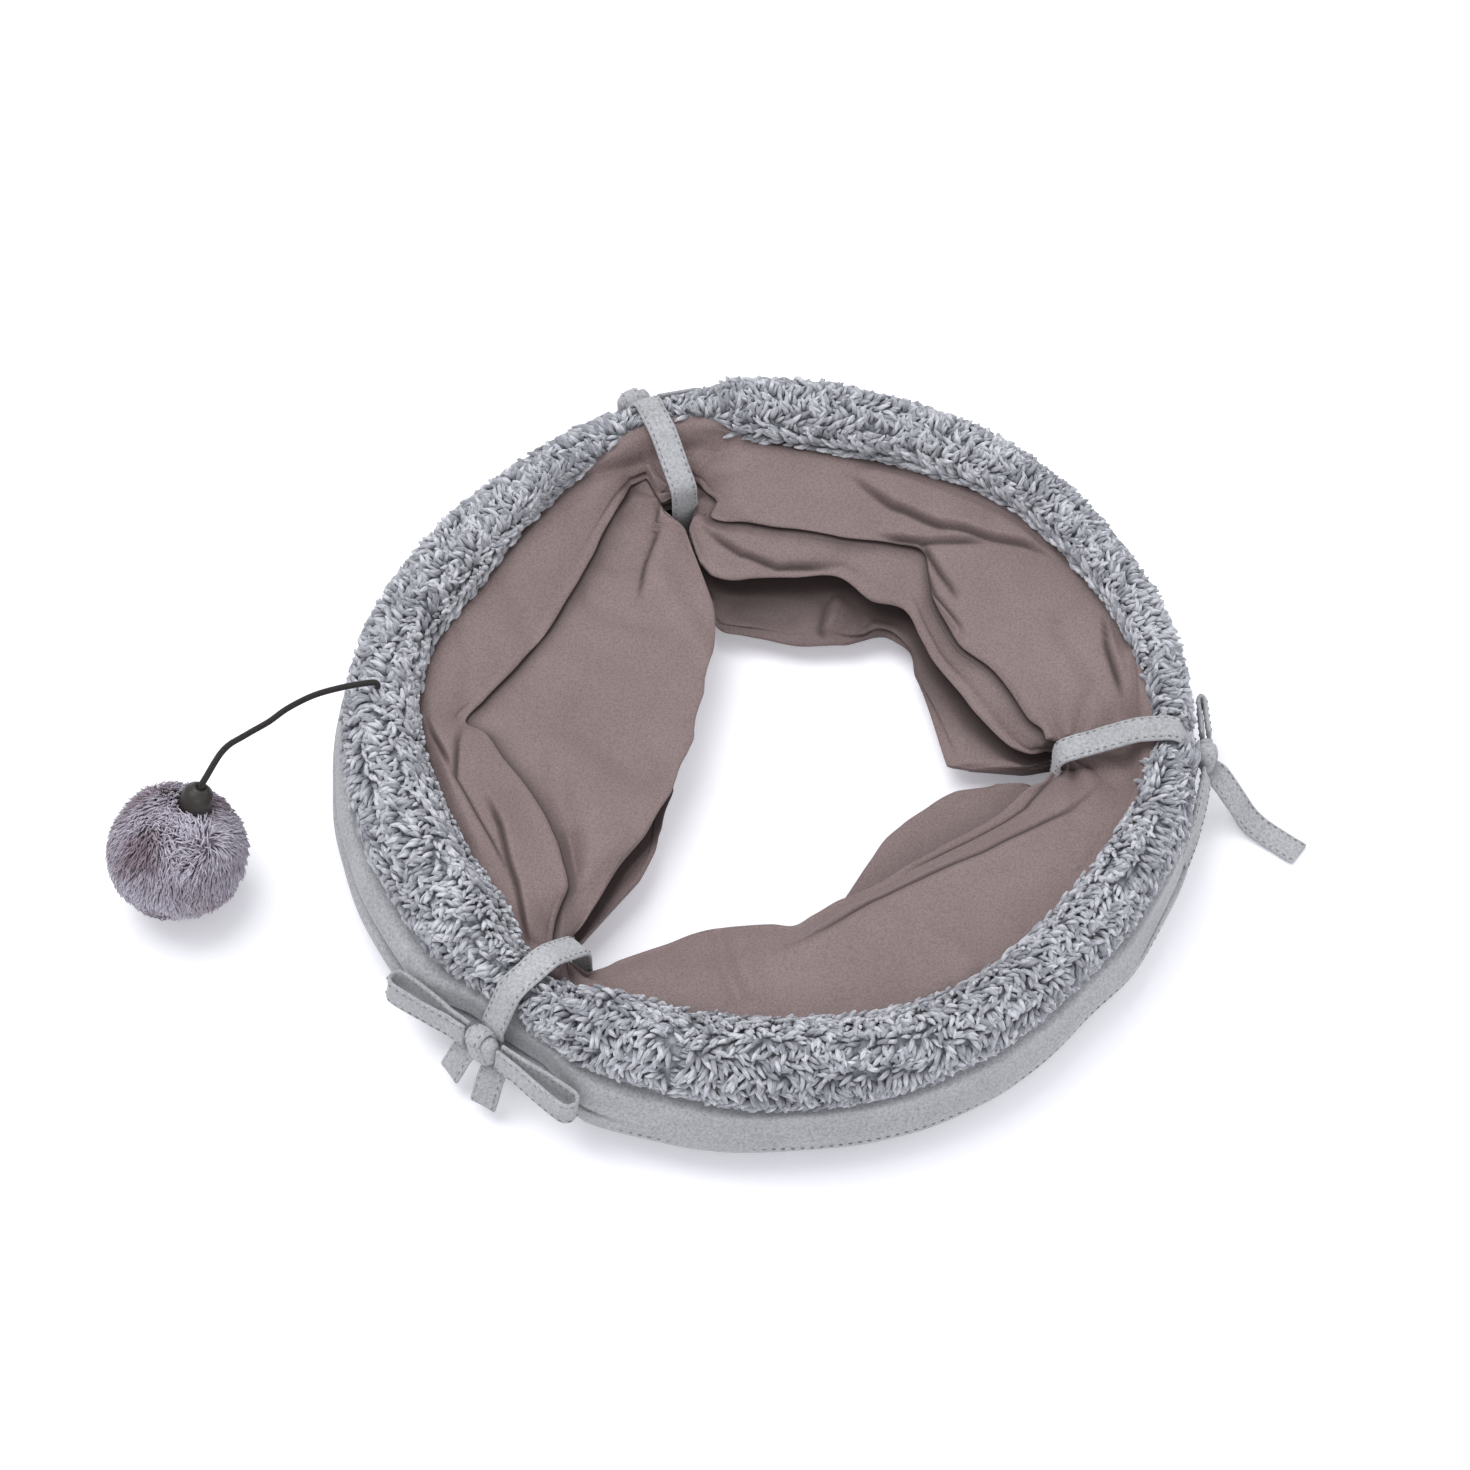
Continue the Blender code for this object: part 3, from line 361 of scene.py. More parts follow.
def curl_shape(seed, length, thickness, lean, curl, sides=6, cuts=4):
    """One curl of pile as points, faces and (cosine, sine, share along it): a rope that rises and bends over X."""
    picker = np.random.default_rng(seed)
    sway = picker.uniform(-0.3, 0.3)
    body = bmesh.new()
    bmesh.ops.create_cone(
        body, cap_ends=True, cap_tris=True, segments=sides, radius1=1.0, radius2=1.0, depth=1.0,
        matrix=Matrix.Translation((0.0, 0.0, 0.5)),
    )
    upright = [edge for edge in body.edges if abs(edge.verts[0].co.z - edge.verts[1].co.z) > 0.5]
    bmesh.ops.subdivide_edges(body, edges=upright, cuts=cuts)
    strands = []
    for vert in body.verts:
        share = vert.co.z
        off_axis = math.hypot(vert.co.x, vert.co.y)
        turn = math.atan2(vert.co.y, vert.co.x) + 1.6 * share
        width = thickness * off_axis * (0.7 + 0.5 * math.sin(2.6 * share)) * (1.0 - 0.6 * share ** 3)
        width *= 1.0 + 0.2 * math.cos(3.0 * turn)
        heading = lean + curl * share
        middle = Vector((
            length * (math.cos(lean) - math.cos(heading)) / curl,
            sway * length * share ** 2,
            length * (math.sin(heading) - math.sin(lean)) / curl,
        ))
        across = Vector((math.cos(heading), 0.0, -math.sin(heading)))
        vert.co = middle + (Vector((0.0, 1.0, 0.0)) * math.cos(turn) + across * math.sin(turn)) * width
        strands.append((math.cos(turn), math.sin(turn), share))
    points = np.array([vert.co for vert in body.verts])
    faces = [[vert.index for vert in face.verts] for face in body.faces]
    body.free()
    return points, faces, np.array(strands)


def laid_pile(name, shapes, picks, roots, frames, sizes, tones):
    """A mesh of many curls, each one of the shapes set up at its root in its own axes."""
    places, faces, strands, piles = [], [], [], []
    start = 0
    for pick, root, axes, size, tone in zip(picks, roots, frames, sizes, tones):
        points, shape_faces, strand = shapes[pick]
        places.append(root + (points * size) @ axes)
        faces += [[start + corner for corner in face] for face in shape_faces]
        strands.append(strand + (0.0, 0.0, 60.0 * tone))
        piles.append(np.stack([strand[:, 2], np.full(len(points), tone)], axis=1))
        start += len(points)
    mesh = bpy.data.meshes.new(name)
    mesh.from_pydata(np.concatenate(places), [], faces)
    strand_values = mesh.attributes.new("strand", "FLOAT_VECTOR", "POINT")
    strand_values.data.foreach_set("vector", np.concatenate(strands).astype(np.float32).reshape(-1))
    pile_values = mesh.attributes.new("pile", "FLOAT_VECTOR", "POINT")
    padded = np.pad(np.concatenate(piles), ((0, 0), (0, 1)))
    pile_values.data.foreach_set("vector", padded.astype(np.float32).reshape(-1))
    mesh.shade_smooth()
    obj = bpy.data.objects.new(name, mesh)
    scene.collection.objects.link(obj)
    return obj


curl_pitch = 0.0019
collar_arcs = 6
curl_shapes = [curl_shape(seed, 0.0056, 0.0008, lean, curl) for seed, lean, curl in (
    (1, 0.45, 1.2), (2, 0.6, 1.0), (3, 0.75, 0.9), (4, 0.5, 1.4), (5, 0.8, 0.8), (6, 0.35, 1.6),
)]
tie_skews = (10.0, 5.0, -8.0)
tie_middle_radius = 0.1193
strap_half_width = 0.00475
seam_angle = 258.0


def strap_distance(points):
    """How far points lie from the nearest strap's middle line, across the strap."""
    nearest = np.full(len(points), 1.0)
    for tie, skew in zip(tie_angles, tie_skews):
        turn, heading = math.radians(tie), math.radians(tie + skew)
        flat = points[:, :2] - (
            ring_x + tie_middle_radius * math.cos(turn), ring_y + tie_middle_radius * math.sin(turn)
        )
        same_side = flat @ (math.cos(turn), math.sin(turn)) > -tie_middle_radius
        across = np.abs(flat @ (-math.sin(heading), math.cos(heading)))
        nearest = np.where(same_side, np.minimum(nearest, across), nearest)
    return nearest


picker = np.random.default_rng(11)
around_count = int(2 * math.pi * coil_radius / curl_pitch)
lean_count = int(collar_tube_radius * math.radians(lean_span) / curl_pitch) + 1
around, up = np.meshgrid(np.arange(around_count), np.arange(lean_count), indexing="ij")
around = (around.reshape(-1) + picker.uniform(-0.5, 0.5, around.size)) * 360.0 / around_count % 360.0
up = (up.reshape(-1) + picker.uniform(0.0, 1.0, up.size)) / lean_count
leans = outer_lip_lean + 2.0 + (lean_span - 4.0) * up
roots = collar_place(around, leans, backing_depth + 0.0004)
normals = collar_place(around, leans, 0.0) - roots
normals /= np.linalg.norm(normals, axis=1)[:, None]
along = collar_place(around + 0.4, leans, backing_depth) - collar_place(around - 0.4, leans, backing_depth)
along -= normals * np.sum(along * normals, axis=1)[:, None]
along /= np.linalg.norm(along, axis=1)[:, None]
down = np.cross(normals, along)
down *= np.where(np.sum(down * (collar_place(around, leans - 4.0, 0.002) - roots), axis=1) < 0.0, -1.0, 1.0)[:, None]
drift = np.array([noise.noise_vector(Vector(root) * 55.0) for root in roots])
away = np.abs((around - seam_angle + 180.0) % 360.0 - 180.0)
bands = np.sin(2 * math.pi * (leans + 14.0 * drift[:, 2]) / 52.0)
headings = 2.0 * drift[:, 0] + 0.75 * np.tanh(3.0 * bands) + picker.normal(0.0, 0.35, around.size)
braided = leans > 168.0
headings = np.where(braided, np.where(bands > 0.0, 0.7, 1.5) + picker.normal(0.0, 0.12, around.size), headings)
headings = np.where(away < 1.1, np.where(drift[:, 2] > 0, 1.55, -1.55) + 0.4 * drift[:, 1], headings)
toward = down * np.cos(headings)[:, None] + along * np.sin(headings)[:, None]
distance = strap_distance(roots)
# Beside the outer part of the right strap the fleece puffs out, and its curls lie over the strap
right_heading = math.radians(tie_angles[0] + tie_skews[0])
right_across = np.array([-math.sin(right_heading), math.cos(right_heading), 0.0])
strap_side = (collar_place(around, leans, 0.0) - collar_place(np.array(tie_angles[0]), 0.0, 0.0)) @ right_across
puffed = (np.abs(strap_side) < strap_half_width + 0.0042) & (leans < 46.0) & (np.cos(np.radians(around)) > 0.9)
over_strap = right_across * -np.sign(strap_side)[:, None]
over_strap -= normals * np.sum(over_strap * normals, axis=1)[:, None]
over_strap /= np.linalg.norm(over_strap, axis=1)[:, None]
toward = np.where(puffed[:, None], over_strap, toward)
frames = np.stack([toward, np.cross(normals, toward), normals], axis=1)
sizes = picker.uniform(0.72, 1.12, around.size) * np.where(braided, 1.12, 1.0)
sizes *= np.where(puffed, 1.3, np.where(distance < 2.0 * strap_half_width, 0.8, 1.0))
sizes = np.where(away < 1.1, 0.7 * sizes, sizes)
tones = np.clip(0.5 + 0.36 * picker.normal(size=around.size) + 0.45 * drift[:, 1], 0.0, 1.0)
picks = picker.integers(0, len(curl_shapes), around.size)
kept = (distance > strap_half_width + 0.0006) & (leans < lining_top_lean(around) + 3.0)

sherpa_pile, tree, shader = material("sherpa_pile", 0.95, sheen=0.35, sheen_roughness=0.6, specular=0.15)
pile = add_node(tree, "ShaderNodeAttribute", {"attribute_name": "pile"})
strand = add_node(tree, "ShaderNodeAttribute", {"attribute_name": "strand"})
parts = add_node(tree, "ShaderNodeSeparateXYZ", Vector=pile.outputs["Vector"])
fibres = add_node(tree, "ShaderNodeTexNoise", Vector=strand.outputs["Vector"], Scale=3.2, Detail=3.0, Roughness=0.7)
# Painted shade at the roots: each curl darkens from its tip down to its root, under its own random tone and fibre
# streaks
painted_root_shade = add_node(tree, "ShaderNodeValToRGB", i0=parts.outputs["X"])
painted_root_shade.color_ramp.elements[0].color = linear("#63656D")
painted_root_shade.color_ramp.elements[1].color = linear("#E9EAF0")
painted_root_shade.color_ramp.elements[1].position = 0.6
toned = add_node(tree, "ShaderNodeValToRGB", i0=parts.outputs["Y"])
toned.color_ramp.elements[0].color = linear("#85878F")
toned.color_ramp.elements[1].color = linear("#FFFFFF")
mixed = add_node(
    tree, "ShaderNodeMix", {"data_type": "RGBA", "blend_type": "MULTIPLY"}, i0=0.75,
    i6=painted_root_shade.outputs["Color"], i7=toned.outputs["Color"],
)
streaks = add_node(tree, "ShaderNodeValToRGB", i0=fibres.outputs["Fac"])
streaks.color_ramp.elements[0].color = linear("#9A9CA2")
streaks.color_ramp.elements[0].position = 0.35
streaks.color_ramp.elements[1].color = linear("#FFFFFF")
streaks.color_ramp.elements[1].position = 0.62
woolly = add_node(
    tree, "ShaderNodeMix", {"data_type": "RGBA", "blend_type": "MULTIPLY"}, i0=0.8,
    i6=mixed.outputs[2], i7=streaks.outputs["Color"],
)
tree.links.new(woolly.outputs[2], shader.inputs["Base Color"])
relief = add_node(tree, "ShaderNodeBump", Strength=0.7, Distance=0.0003, Height=fibres.outputs["Fac"])
tree.links.new(relief.outputs["Normal"], shader.inputs["Normal"])

for arc in range(collar_arcs):
    here = kept & (np.floor(around * collar_arcs / 360.0) == arc)
    collar_pile = laid_pile(
        "collar_pile_%d" % (arc + 1), curl_shapes, picks[here], roots[here], frames[here],
        sizes[here], tones[here],
    )
    collar_pile.data.materials.append(sherpa_pile)
    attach(collar_pile, "top_mouth")


# Lining
# A tube of soft taupe microfibre in three panels, sewn to the fleece, to the sleeves on the wire
# and to the hem. Each panel is folded flat between two turns and hangs into the mouth as a sheet.

wire_side = 0.1238
hem_side = 0.1187
tie_inner_radii = (0.0953, 0.0983, 0.1028)
cloth_gap = 0.0006
nose_depth = 0.0017
# Angle round the ring in degrees and radius in millimetres of each panel's folded edge
upper_edge = (
    (1, 91), (9, 84), (18, 79), (29, 73), (36, 74), (43, 77), (49, 84), (54, 90), (60, 87), (73, 82), (85, 82),
    (94, 86), (98, 91), (101, 99), (104, 108), (111, 117), (117, 107), (124, 98), (131, 91), (139, 86), (151, 83),
    (162, 86), (173, 94), (178, 99), (181, 92), (187, 87), (194, 82), (199, 80), (205, 79), (212, 80), (218, 83),
    (223, 87), (225, 93), (227, 99), (230, 105), (237, 106), (241, 97), (248, 86), (253, 79), (258, 75), (271, 72),
    (276, 73), (282, 70), (291, 67), (309, 67), (321, 70), (327, 73), (339, 83), (345, 88), (351, 93),
)
middle_edge = (
    (358.5, 90), (3, 80), (14, 69), (30, 65), (39, 67), (49, 71), (58, 67), (70, 71), (82, 67), (93, 66),
    (100, 70), (103.5, 76), (111, 59), (114, 52), (121, 39), (130, 32), (141, 27), (158, 25), (179, 24),
    (190, 26), (200, 30), (213, 37), (219, 46), (223, 54), (225, 66), (228, 80), (230, 92), (237, 108), (241, 101),
    (248, 90), (253, 83), (258, 79), (271, 76), (276, 77), (282, 74), (291, 71), (309, 71), (321, 74), (327, 77),
    (339, 87), (345, 91), (351, 94),
)
lower_edge = (
    (359.5, 66), (1, 60), (14, 58), (34, 61), (43, 66), (50, 65), (61, 54), (79, 48), (98, 53), (103.5, 57),
    (111, 67), (121, 47), (141, 35), (160, 32), (179, 32), (195, 34), (204, 35), (215, 42), (225, 51), (228, 58),
    (230, 66), (237, 108), (241, 102), (248, 92), (262, 86), (276, 80), (284, 72), (290, 65), (296, 58),
    (311, 51), (322, 49), (332, 51), (340, 56), (346, 63), (351, 76),
)
# Angle and height in millimetres of the folded edges, and of the ridge that the upper panel has before its edge
upper_edge_heights = ((0, 28.5), (45, 28.5), (60, 30), (104, 30), (111, 29.5), (230, 29.5), (240, 28), (255, 27), (345, 26.5))
middle_edge_heights = ((0, 21), (40, 21), (60, 22.5), (104, 22.5), (112, 24), (228, 24), (238, 23.5), (350, 22.5))
lower_edge_heights = ((0, 9.5), (110, 9.5), (150, 12), (190, 13), (228, 14), (240, 12), (300, 9.5))
ridge_heights = ((0, 33), (50, 33.5), (105, 34.5), (112, 34), (180, 33.5), (230, 33.5), (245, 34), (262, 35.2), (330, 35.2), (345, 34.2))
ridge_shares = ((0, 0.5), (230, 0.5), (250, 0.45), (264, 0.5), (275, 0.66), (284, 0.74), (296, 0.78), (311, 0.74), (323, 0.64), (332, 0.55), (345, 0.5))

fine = np.arange(0.0, 360.0, 0.05)
near_tie = np.min([np.abs((fine - tie + 180.0) % 360.0 - 180.0) for tie in tie_angles], axis=0)
crowd = np.cumsum(1.0 + 2.4 * np.exp(-(near_tie / 4.5) ** 2))
lining_steps = 760
lining_angles = np.interp(np.arange(lining_steps) / lining_steps, crowd / crowd[-1], fine)


def flowing(table, angle):
    """The value at angles round the ring of a smooth closed curve through a table of (angle, value)."""
    turns, values = np.array(sorted((turn % 360.0, value) for turn, value in table)).T
    turns = np.concatenate([turns[-2:] - 360.0, turns, turns[:2] + 360.0])
    values = np.concatenate([values[-2:], values, values[:2]])
    slopes = np.diff(values) / np.diff(turns)
    before, after = slopes[:-1], slopes[1:]
    same_way = before * after > 0.0
    bends = np.where(same_way, 2.0 * before * after / np.where(same_way, before + after, 1.0), 0.0)
    turns, values = turns[1:-1], values[1:-1]
    first = np.clip(np.searchsorted(turns, angle, "right") - 1, 0, len(turns) - 2)
    span = turns[first + 1] - turns[first]
    t = (angle - turns[first]) / span
    return (
        values[first] * (1.0 + 2.0 * t) * (1.0 - t) ** 2 + bends[first] * span * t * (1.0 - t) ** 2
        + values[first + 1] * t ** 2 * (3.0 - 2.0 * t) + bends[first + 1] * span * t ** 2 * (t - 1.0)
    )


def edge_radius(table, angle, clearance, full=3.1, gone=4.1):
    """The radius of a panel's folded edge, drawn out to the strap at each tie."""
    grip = tie_grip(angle, full, gone)
    away = [np.abs((angle - tie + 180.0) % 360.0 - 180.0) for tie in tie_angles]
    inner = np.array(tie_inner_radii)[np.argmin(away, axis=0)] + clearance
    radius = flowing(table, angle) / 1000
    return radius + (inner - radius) * grip


def smooth_section(points, count, crowding=None):
    """(radius, height) along a smooth curve through rows of (radius, height), one column for each angle."""
    radii = np.array([np.broadcast_to(r, points[0][0].shape) for r, _ in points])
    heights = np.array([np.broadcast_to(h, points[0][0].shape) for _, h in points])
    lengths = np.hypot(np.diff(radii, axis=0), np.diff(heights, axis=0)).mean(axis=1) + 0.0012
    if crowding is not None:
        lengths *= crowding
    along = np.interp(
        np.linspace(0.0, 1.0, count), np.concatenate([[0.0], np.cumsum(lengths)]) / lengths.sum(),
        np.arange(len(points)),
    )
    first = np.minimum(along.astype(int), len(points) - 2)
    t = (along - first)[:, None]
    result = []
    for rows in (radii, heights):
        rows = np.concatenate([2 * rows[:1] - rows[1:2], rows, 2 * rows[-1:] - rows[-2:-1]])
        a, b, c, d = (rows[first + shift] for shift in range(4))
        result.append(0.5 * (
            2 * b + (c - a) * t + (2 * a - 5 * b + 4 * c - d) * t ** 2 + (3 * b - a - 3 * c + d) * t ** 3
        ))
    return result + [along]


def cloth_ring(name, count, angles, section, crowding=None):
    """A ring of cloth whose section at each angle comes from a function, with each vertex's place in it."""
    mesh, number, angle = ring_grid(name, count, len(angles), False)
    radii, heights, along = smooth_section(section(angles), count, crowding)
    step = np.rint(angle * len(angles) / 360.0).astype(int) % len(angles)
    return mesh, angles[step], radii[number, step], heights[number, step], along[number]


def crease(flat, line, height, width, reach, ends=0.26):
    """The rise of a folded edge over points (x, y): its left side lies over its right side. It also gives the painted
    shade along the edge's foot, as a share from 0 to 1.
    """
    line = np.array(line, float) / 1000
    spans = np.diff(line, axis=0)
    lengths = np.hypot(spans[:, 0], spans[:, 1])
    starts = np.concatenate([[0.0], np.cumsum(lengths)])
    best = np.full(len(flat), 1.0)
    signed = np.zeros(len(flat))
    share = np.zeros(len(flat))
    for start, span, length, run in zip(line, spans, lengths, starts):
        offset = flat - start
        t = np.clip(offset @ span / length ** 2, 0.0, 1.0)
        gap = offset - t[:, None] * span
        distance = np.hypot(gap[:, 0], gap[:, 1])
        side = np.where(span[0] * offset[:, 1] - span[1] * offset[:, 0] > 0.0, 1.0, -1.0)
        nearer = distance < best
        best = np.where(nearer, distance, best)
        signed = np.where(nearer, side * distance, signed)
        share = np.where(nearer, (run + t * length) / starts[-1], share)
    fade = eased(share / ends) * eased((1.0 - share) / ends)
    over = 0.5 * (1.0 + np.tanh(signed / width)) * np.exp(-(best / reach) ** 2)
    # under is both a small groove at the foot of the edge and, in the second value returned, painted shade there
    under = np.exp(-((signed + 1.2 * width) / (1.3 * width)) ** 2)
    return fade * (height * over - 0.25 * height * under), fade * under


def dent(flat, line, height, width):
    """The rise of a soft ridge, or of a hollow, along a line of points."""
    line = np.array(line, float) / 1000
    best = np.full(len(flat), 1.0)
    for start, end in zip(line, line[1:]):
        span = end - start
        t = np.clip((flat - start) @ span / (span @ span), 0.0, 1.0)
        gap = flat - start - t[:, None] * span
        best = np.minimum(best, np.hypot(gap[:, 0], gap[:, 1]))
    return height * np.exp(-(best / width) ** 2)


def gathers(flat, tall, spread):
    """Small pleats that run out from the foot of each strap."""
    rise = np.zeros(len(flat))
    for number, tie in enumerate(tie_angles):
        turn = math.radians(tie)
        foot = (tie_inner_radii[number] + 0.004) * np.array([math.cos(turn), math.sin(turn)])
        offset = flat - foot
        distance = np.hypot(offset[:, 0], offset[:, 1])
        fan = np.arctan2(offset[:, 1], offset[:, 0]) - turn
        wave = np.abs(np.sin(4.5 * fan + 1.3 * number + 18.0 * distance)) - 0.5
        rise += tall * wave * np.exp(-(distance / spread) ** 2)
    return rise


def rolling(flat, size, seed):
    """A slow uneven rise and fall of slack cloth."""
    return np.array([noise.noise(Vector((x * size, y * size, seed))) for x, y in flat])


def closed_in(angle, radius):
    """Angles of cloth that closes again in front of the back and right straps."""
    for number, share in ((0, 0.6), (1, 0.98)):
        away = (angle - tie_angles[number] + 180.0) % 360.0 - 180.0
        in_front = eased((tie_inner_radii[number] - 0.0018 - radius) / 0.008)
        angle = angle - away * share * in_front * np.exp(-(away / 12.0) ** 2)
    return angle


def upper_panel(angle):
    tube = collar_tube_at(angle)
    lip = collar_radius_at(angle) - tube + backing_depth * 0.3
    edge = np.minimum(edge_radius(upper_edge, angle, 0.003), lip - 0.0045)
    top_lean = lining_top_lean(angle)

    def over_collar(share, depth):
        lean = np.radians(top_lean + share * (186.0 - top_lean))
        return collar_radius_at(angle) + (tube - depth) * np.cos(lean), collar_height + (tube - depth) * np.sin(lean)

    height = round_ring(upper_edge_heights, angle) / 1000
    ridge = round_ring(ridge_heights, angle) / 1000
    share = round_ring(ridge_shares, angle)
    span = lip - edge
    none = 0.0 * angle
    return [
        over_collar(0.0, 0.0022),
        over_collar(0.35, 0.0008),
        over_collar(0.7, 0.0004),
        (lip - 0.15 * span, 0.55 * 0.0362 + 0.45 * ridge + 0.0003),
        (lip - share * span, ridge),
        (lip - (0.5 + 0.5 * share) * span, 0.42 * ridge + 0.58 * height + 0.0002),
        (edge + 0.0030, height + 0.0007),
        (edge + 0.0009, height + 0.0001),
        (edge, height - 0.0008),
        (edge + 0.0010, height - nose_depth + 0.0001),
        (edge + 0.0040, height - nose_depth),
        (edge + 0.45 * (wire_side - edge), 0.5 * (height - nose_depth) + 0.5 * 0.0264),
        (wire_side - 0.004 + none, 0.0264 + none),
        (wire_side + none, 0.0252 + none),
    ]


def middle_panel(angle):
    above = np.minimum(edge_radius(upper_edge, angle, 0.003), wire_side - 0.004)
    edge = edge_radius(middle_edge, angle, 0.0025)
    under = round_ring(upper_edge_heights, angle) / 1000 - nose_depth - cloth_gap
    height = np.minimum(round_ring(middle_edge_heights, angle) / 1000, under - 0.0006)
    shown = np.maximum(above - edge, 0.002)
    none = 0.0 * angle
    return [
        (wire_side + none, 0.0248 + none),
        (wire_side - 0.004 + none, 0.0245 + none),
        (wire_side - 0.5 * (wire_side - above), 0.5 * 0.0245 + 0.5 * under),
        (edge + shown + 0.0015, under),
        (edge + 0.82 * shown, under - 0.12 * (under - height)),
        (edge + 0.45 * shown, under - 0.5 * (under - height)),
        (edge + 0.1 * shown + 0.0020, height + 0.0007),
        (edge + 0.0009, height + 0.0001),
        (edge, height - 0.0008),
        (edge + 0.0010, height - nose_depth + 0.0001),
        (edge + 0.0040, height - nose_depth),
        (edge + 0.4 * (wire_side - edge), 0.6 * (height - nose_depth) + 0.4 * 0.0165),
        (wire_side - 0.004 + none, 0.0162 + none),
        (wire_side + none, 0.0149 + none),
    ]


def lower_panel(angle):
    above = np.minimum(edge_radius(middle_edge, angle, 0.0025), wire_side - 0.004)
    edge = edge_radius(lower_edge, angle, 0.003)
    height = round_ring(lower_edge_heights, angle) / 1000
    none = 0.0 * angle
    start = np.maximum(above, edge + 0.002)
    return [
        (wire_side + none, 0.0145 + none),
        (wire_side - 0.004 + none, 0.0138 + none),
        (start + 0.5 * (wire_side - 0.004 - start), 0.0139 + none),
        (0.5 * (start + edge), 0.45 * 0.0140 + 0.55 * height + 0.0003),
        (edge + 0.0030, height + 0.0006),
        (edge + 0.0009, height + 0.0001),
        (edge, height - 0.0008),
        (edge + 0.0010, height - nose_depth + 0.0001),
        (edge + 0.0040, height - nose_depth - 0.0002),
        (edge + 0.5 * (hem_side - edge), 0.5 * (height - nose_depth) + 0.5 * 0.0050),
        (hem_side - 0.003 + none, 0.0051 + none),
        (hem_side + none, 0.0052 + none),
    ]


# Lines of (x, y) in millimetres from the ring's middle, with the height, width and reach of each folded edge
upper_creases = (
    (((-118, 14), (-109, -5), (-100, -23)), 1.8, 0.6, 8.0),
    (((-84, -60), (-84, -55), (-88, -47), (-93, -38), (-97, -30), (-101, -23), (-101, -9), (-99, 3)), 2.5, 0.5, 10.0),
    (((-92, -23), (-85, -40), (-82, -53), (-79, -62), (-76, -77), (-73, -88)), 2.5, 0.6, 8.0),
    (((24, 104), (31, 98), (43, 88), (60, 79), (71, 75), (88, 70), (98, 65), (105, 59)), 3.0, 0.6, 15.0),
    (((36, 80), (43, 77), (60, 74), (70, 73), (78, 72)), 2.4, 0.6, 9.0),
    (((66, 34), (64, 41), (56, 54), (53, 64), (52, 80)), 2.2, 0.7, 8.0),
    (((53, 78), (54, 74), (60, 61), (66, 50)), 1.6, 0.6, 7.0),
    (((113, 52), (113, 46), (113, 29), (118, 6)), 2.0, 0.7, 9.0),
    (((112, -18), (108, -25), (97, -36), (83, -44), (69, -52), (52, -59), (34, -69), (19, -79), (8, -84), (-2, -89)), 2.0, 0.8, 13.0),
    (((100, -12), (91, -20), (84, -31), (76, -37), (60, -46), (40, -56)), 1.8, 0.7, 9.0),
)
upper_dents = (
    (((-99, 2), (-99, 12), (-98, 26), (-101, 34)), -1.0, 3.0), (((-87, 57), (-78, 37)), -1.4, 5.0), (((37, 101), (31, 98)), 0.5, 3.0), (((97, 37), (107, 20), (114, 5)), -1.6, 5.0),
    (((-16, -76), (-14, -91), (-11, -99), (-9, -105)), -1.8, 3.0), (((-9, -82), (-8, -92), (-5, -100)), 1.0, 4.0),
    (((51, -82), (59, -87), (64, -94)), 0.9, 3.0), (((-56, -92), (-46, -92), (-40, -97)), -1.2, 2.5),
    (((-36, 100), (-37, 108)), -0.9, 2.5), (((80, 60), (92, 42), (100, 30)), 1.2, 9.0), (((20, -95), (50, -78)), 0.9, 9.0),
)
middle_creases = (
    (((-33, 100), (-36, 96), (-37, 80), (-40, 70), (-43, 50)), 2.6, 0.6, 11.0),
    (((-24, 87), (-20, 84), (-8, 74), (4, 70), (28, 71)), 2.0, 0.6, 8.0),
)
middle_dents = (
    (((-62, 70), (-50, 68), (-40, 71)), -1.4, 3.5), (((-66, 61), (-50, 49), (-35, 44)), -1.9, 6.0), (((-62, 5), (-52, -3), (-41, -13)), -2.8, 8.0),
    (((-64, -40), (-63, -51)), -2.6, 3.5), (((-30, 60), (-33, 30)), 1.5, 10.0), (((-56, -20), (-50, -45)), 1.6, 9.0),
    (((-70, -10), (-62, -50), (-60, -80)), -1.5, 4.0),
)
lower_creases = (
    (((30, 72), (22, 62), (20, 52), (24, 47)), 2.6, 1.4, 8.0),
    (((42, 66), (36, 56), (34, 48)), 2.2, 1.2, 7.0),
)
lower_dents = ((((60, 40), (75, 22), (88, 8)), -2.4, 6.0), (((-8, 60), (6, 56)), -2.4, 6.0), (((84, 22), (70, 34)), 1.2, 6.0))
# How far the painted shade under a panel's edge reaches on the next one, in millimetres by angle
middle_painted_shade_reach = ((0, 2.5), (95, 2.5), (104, 3.5), (112, 5.0), (125, 4.5), (150, 2.5), (225, 4.0), (240, 1.5), (340, 1.5))
lower_painted_shade_reach = (
    (0, 4.0), (20, 6.0), (45, 5.0), (58, 13.0), (75, 19.0), (95, 19.0), (104, 9.0), (114, 3.0), (190, 3.0), (205, 9.0),
    (225, 9.0), (240, 4.0), (280, 4.0), (292, 8.0), (335, 10.0), (348, 5.0),
)

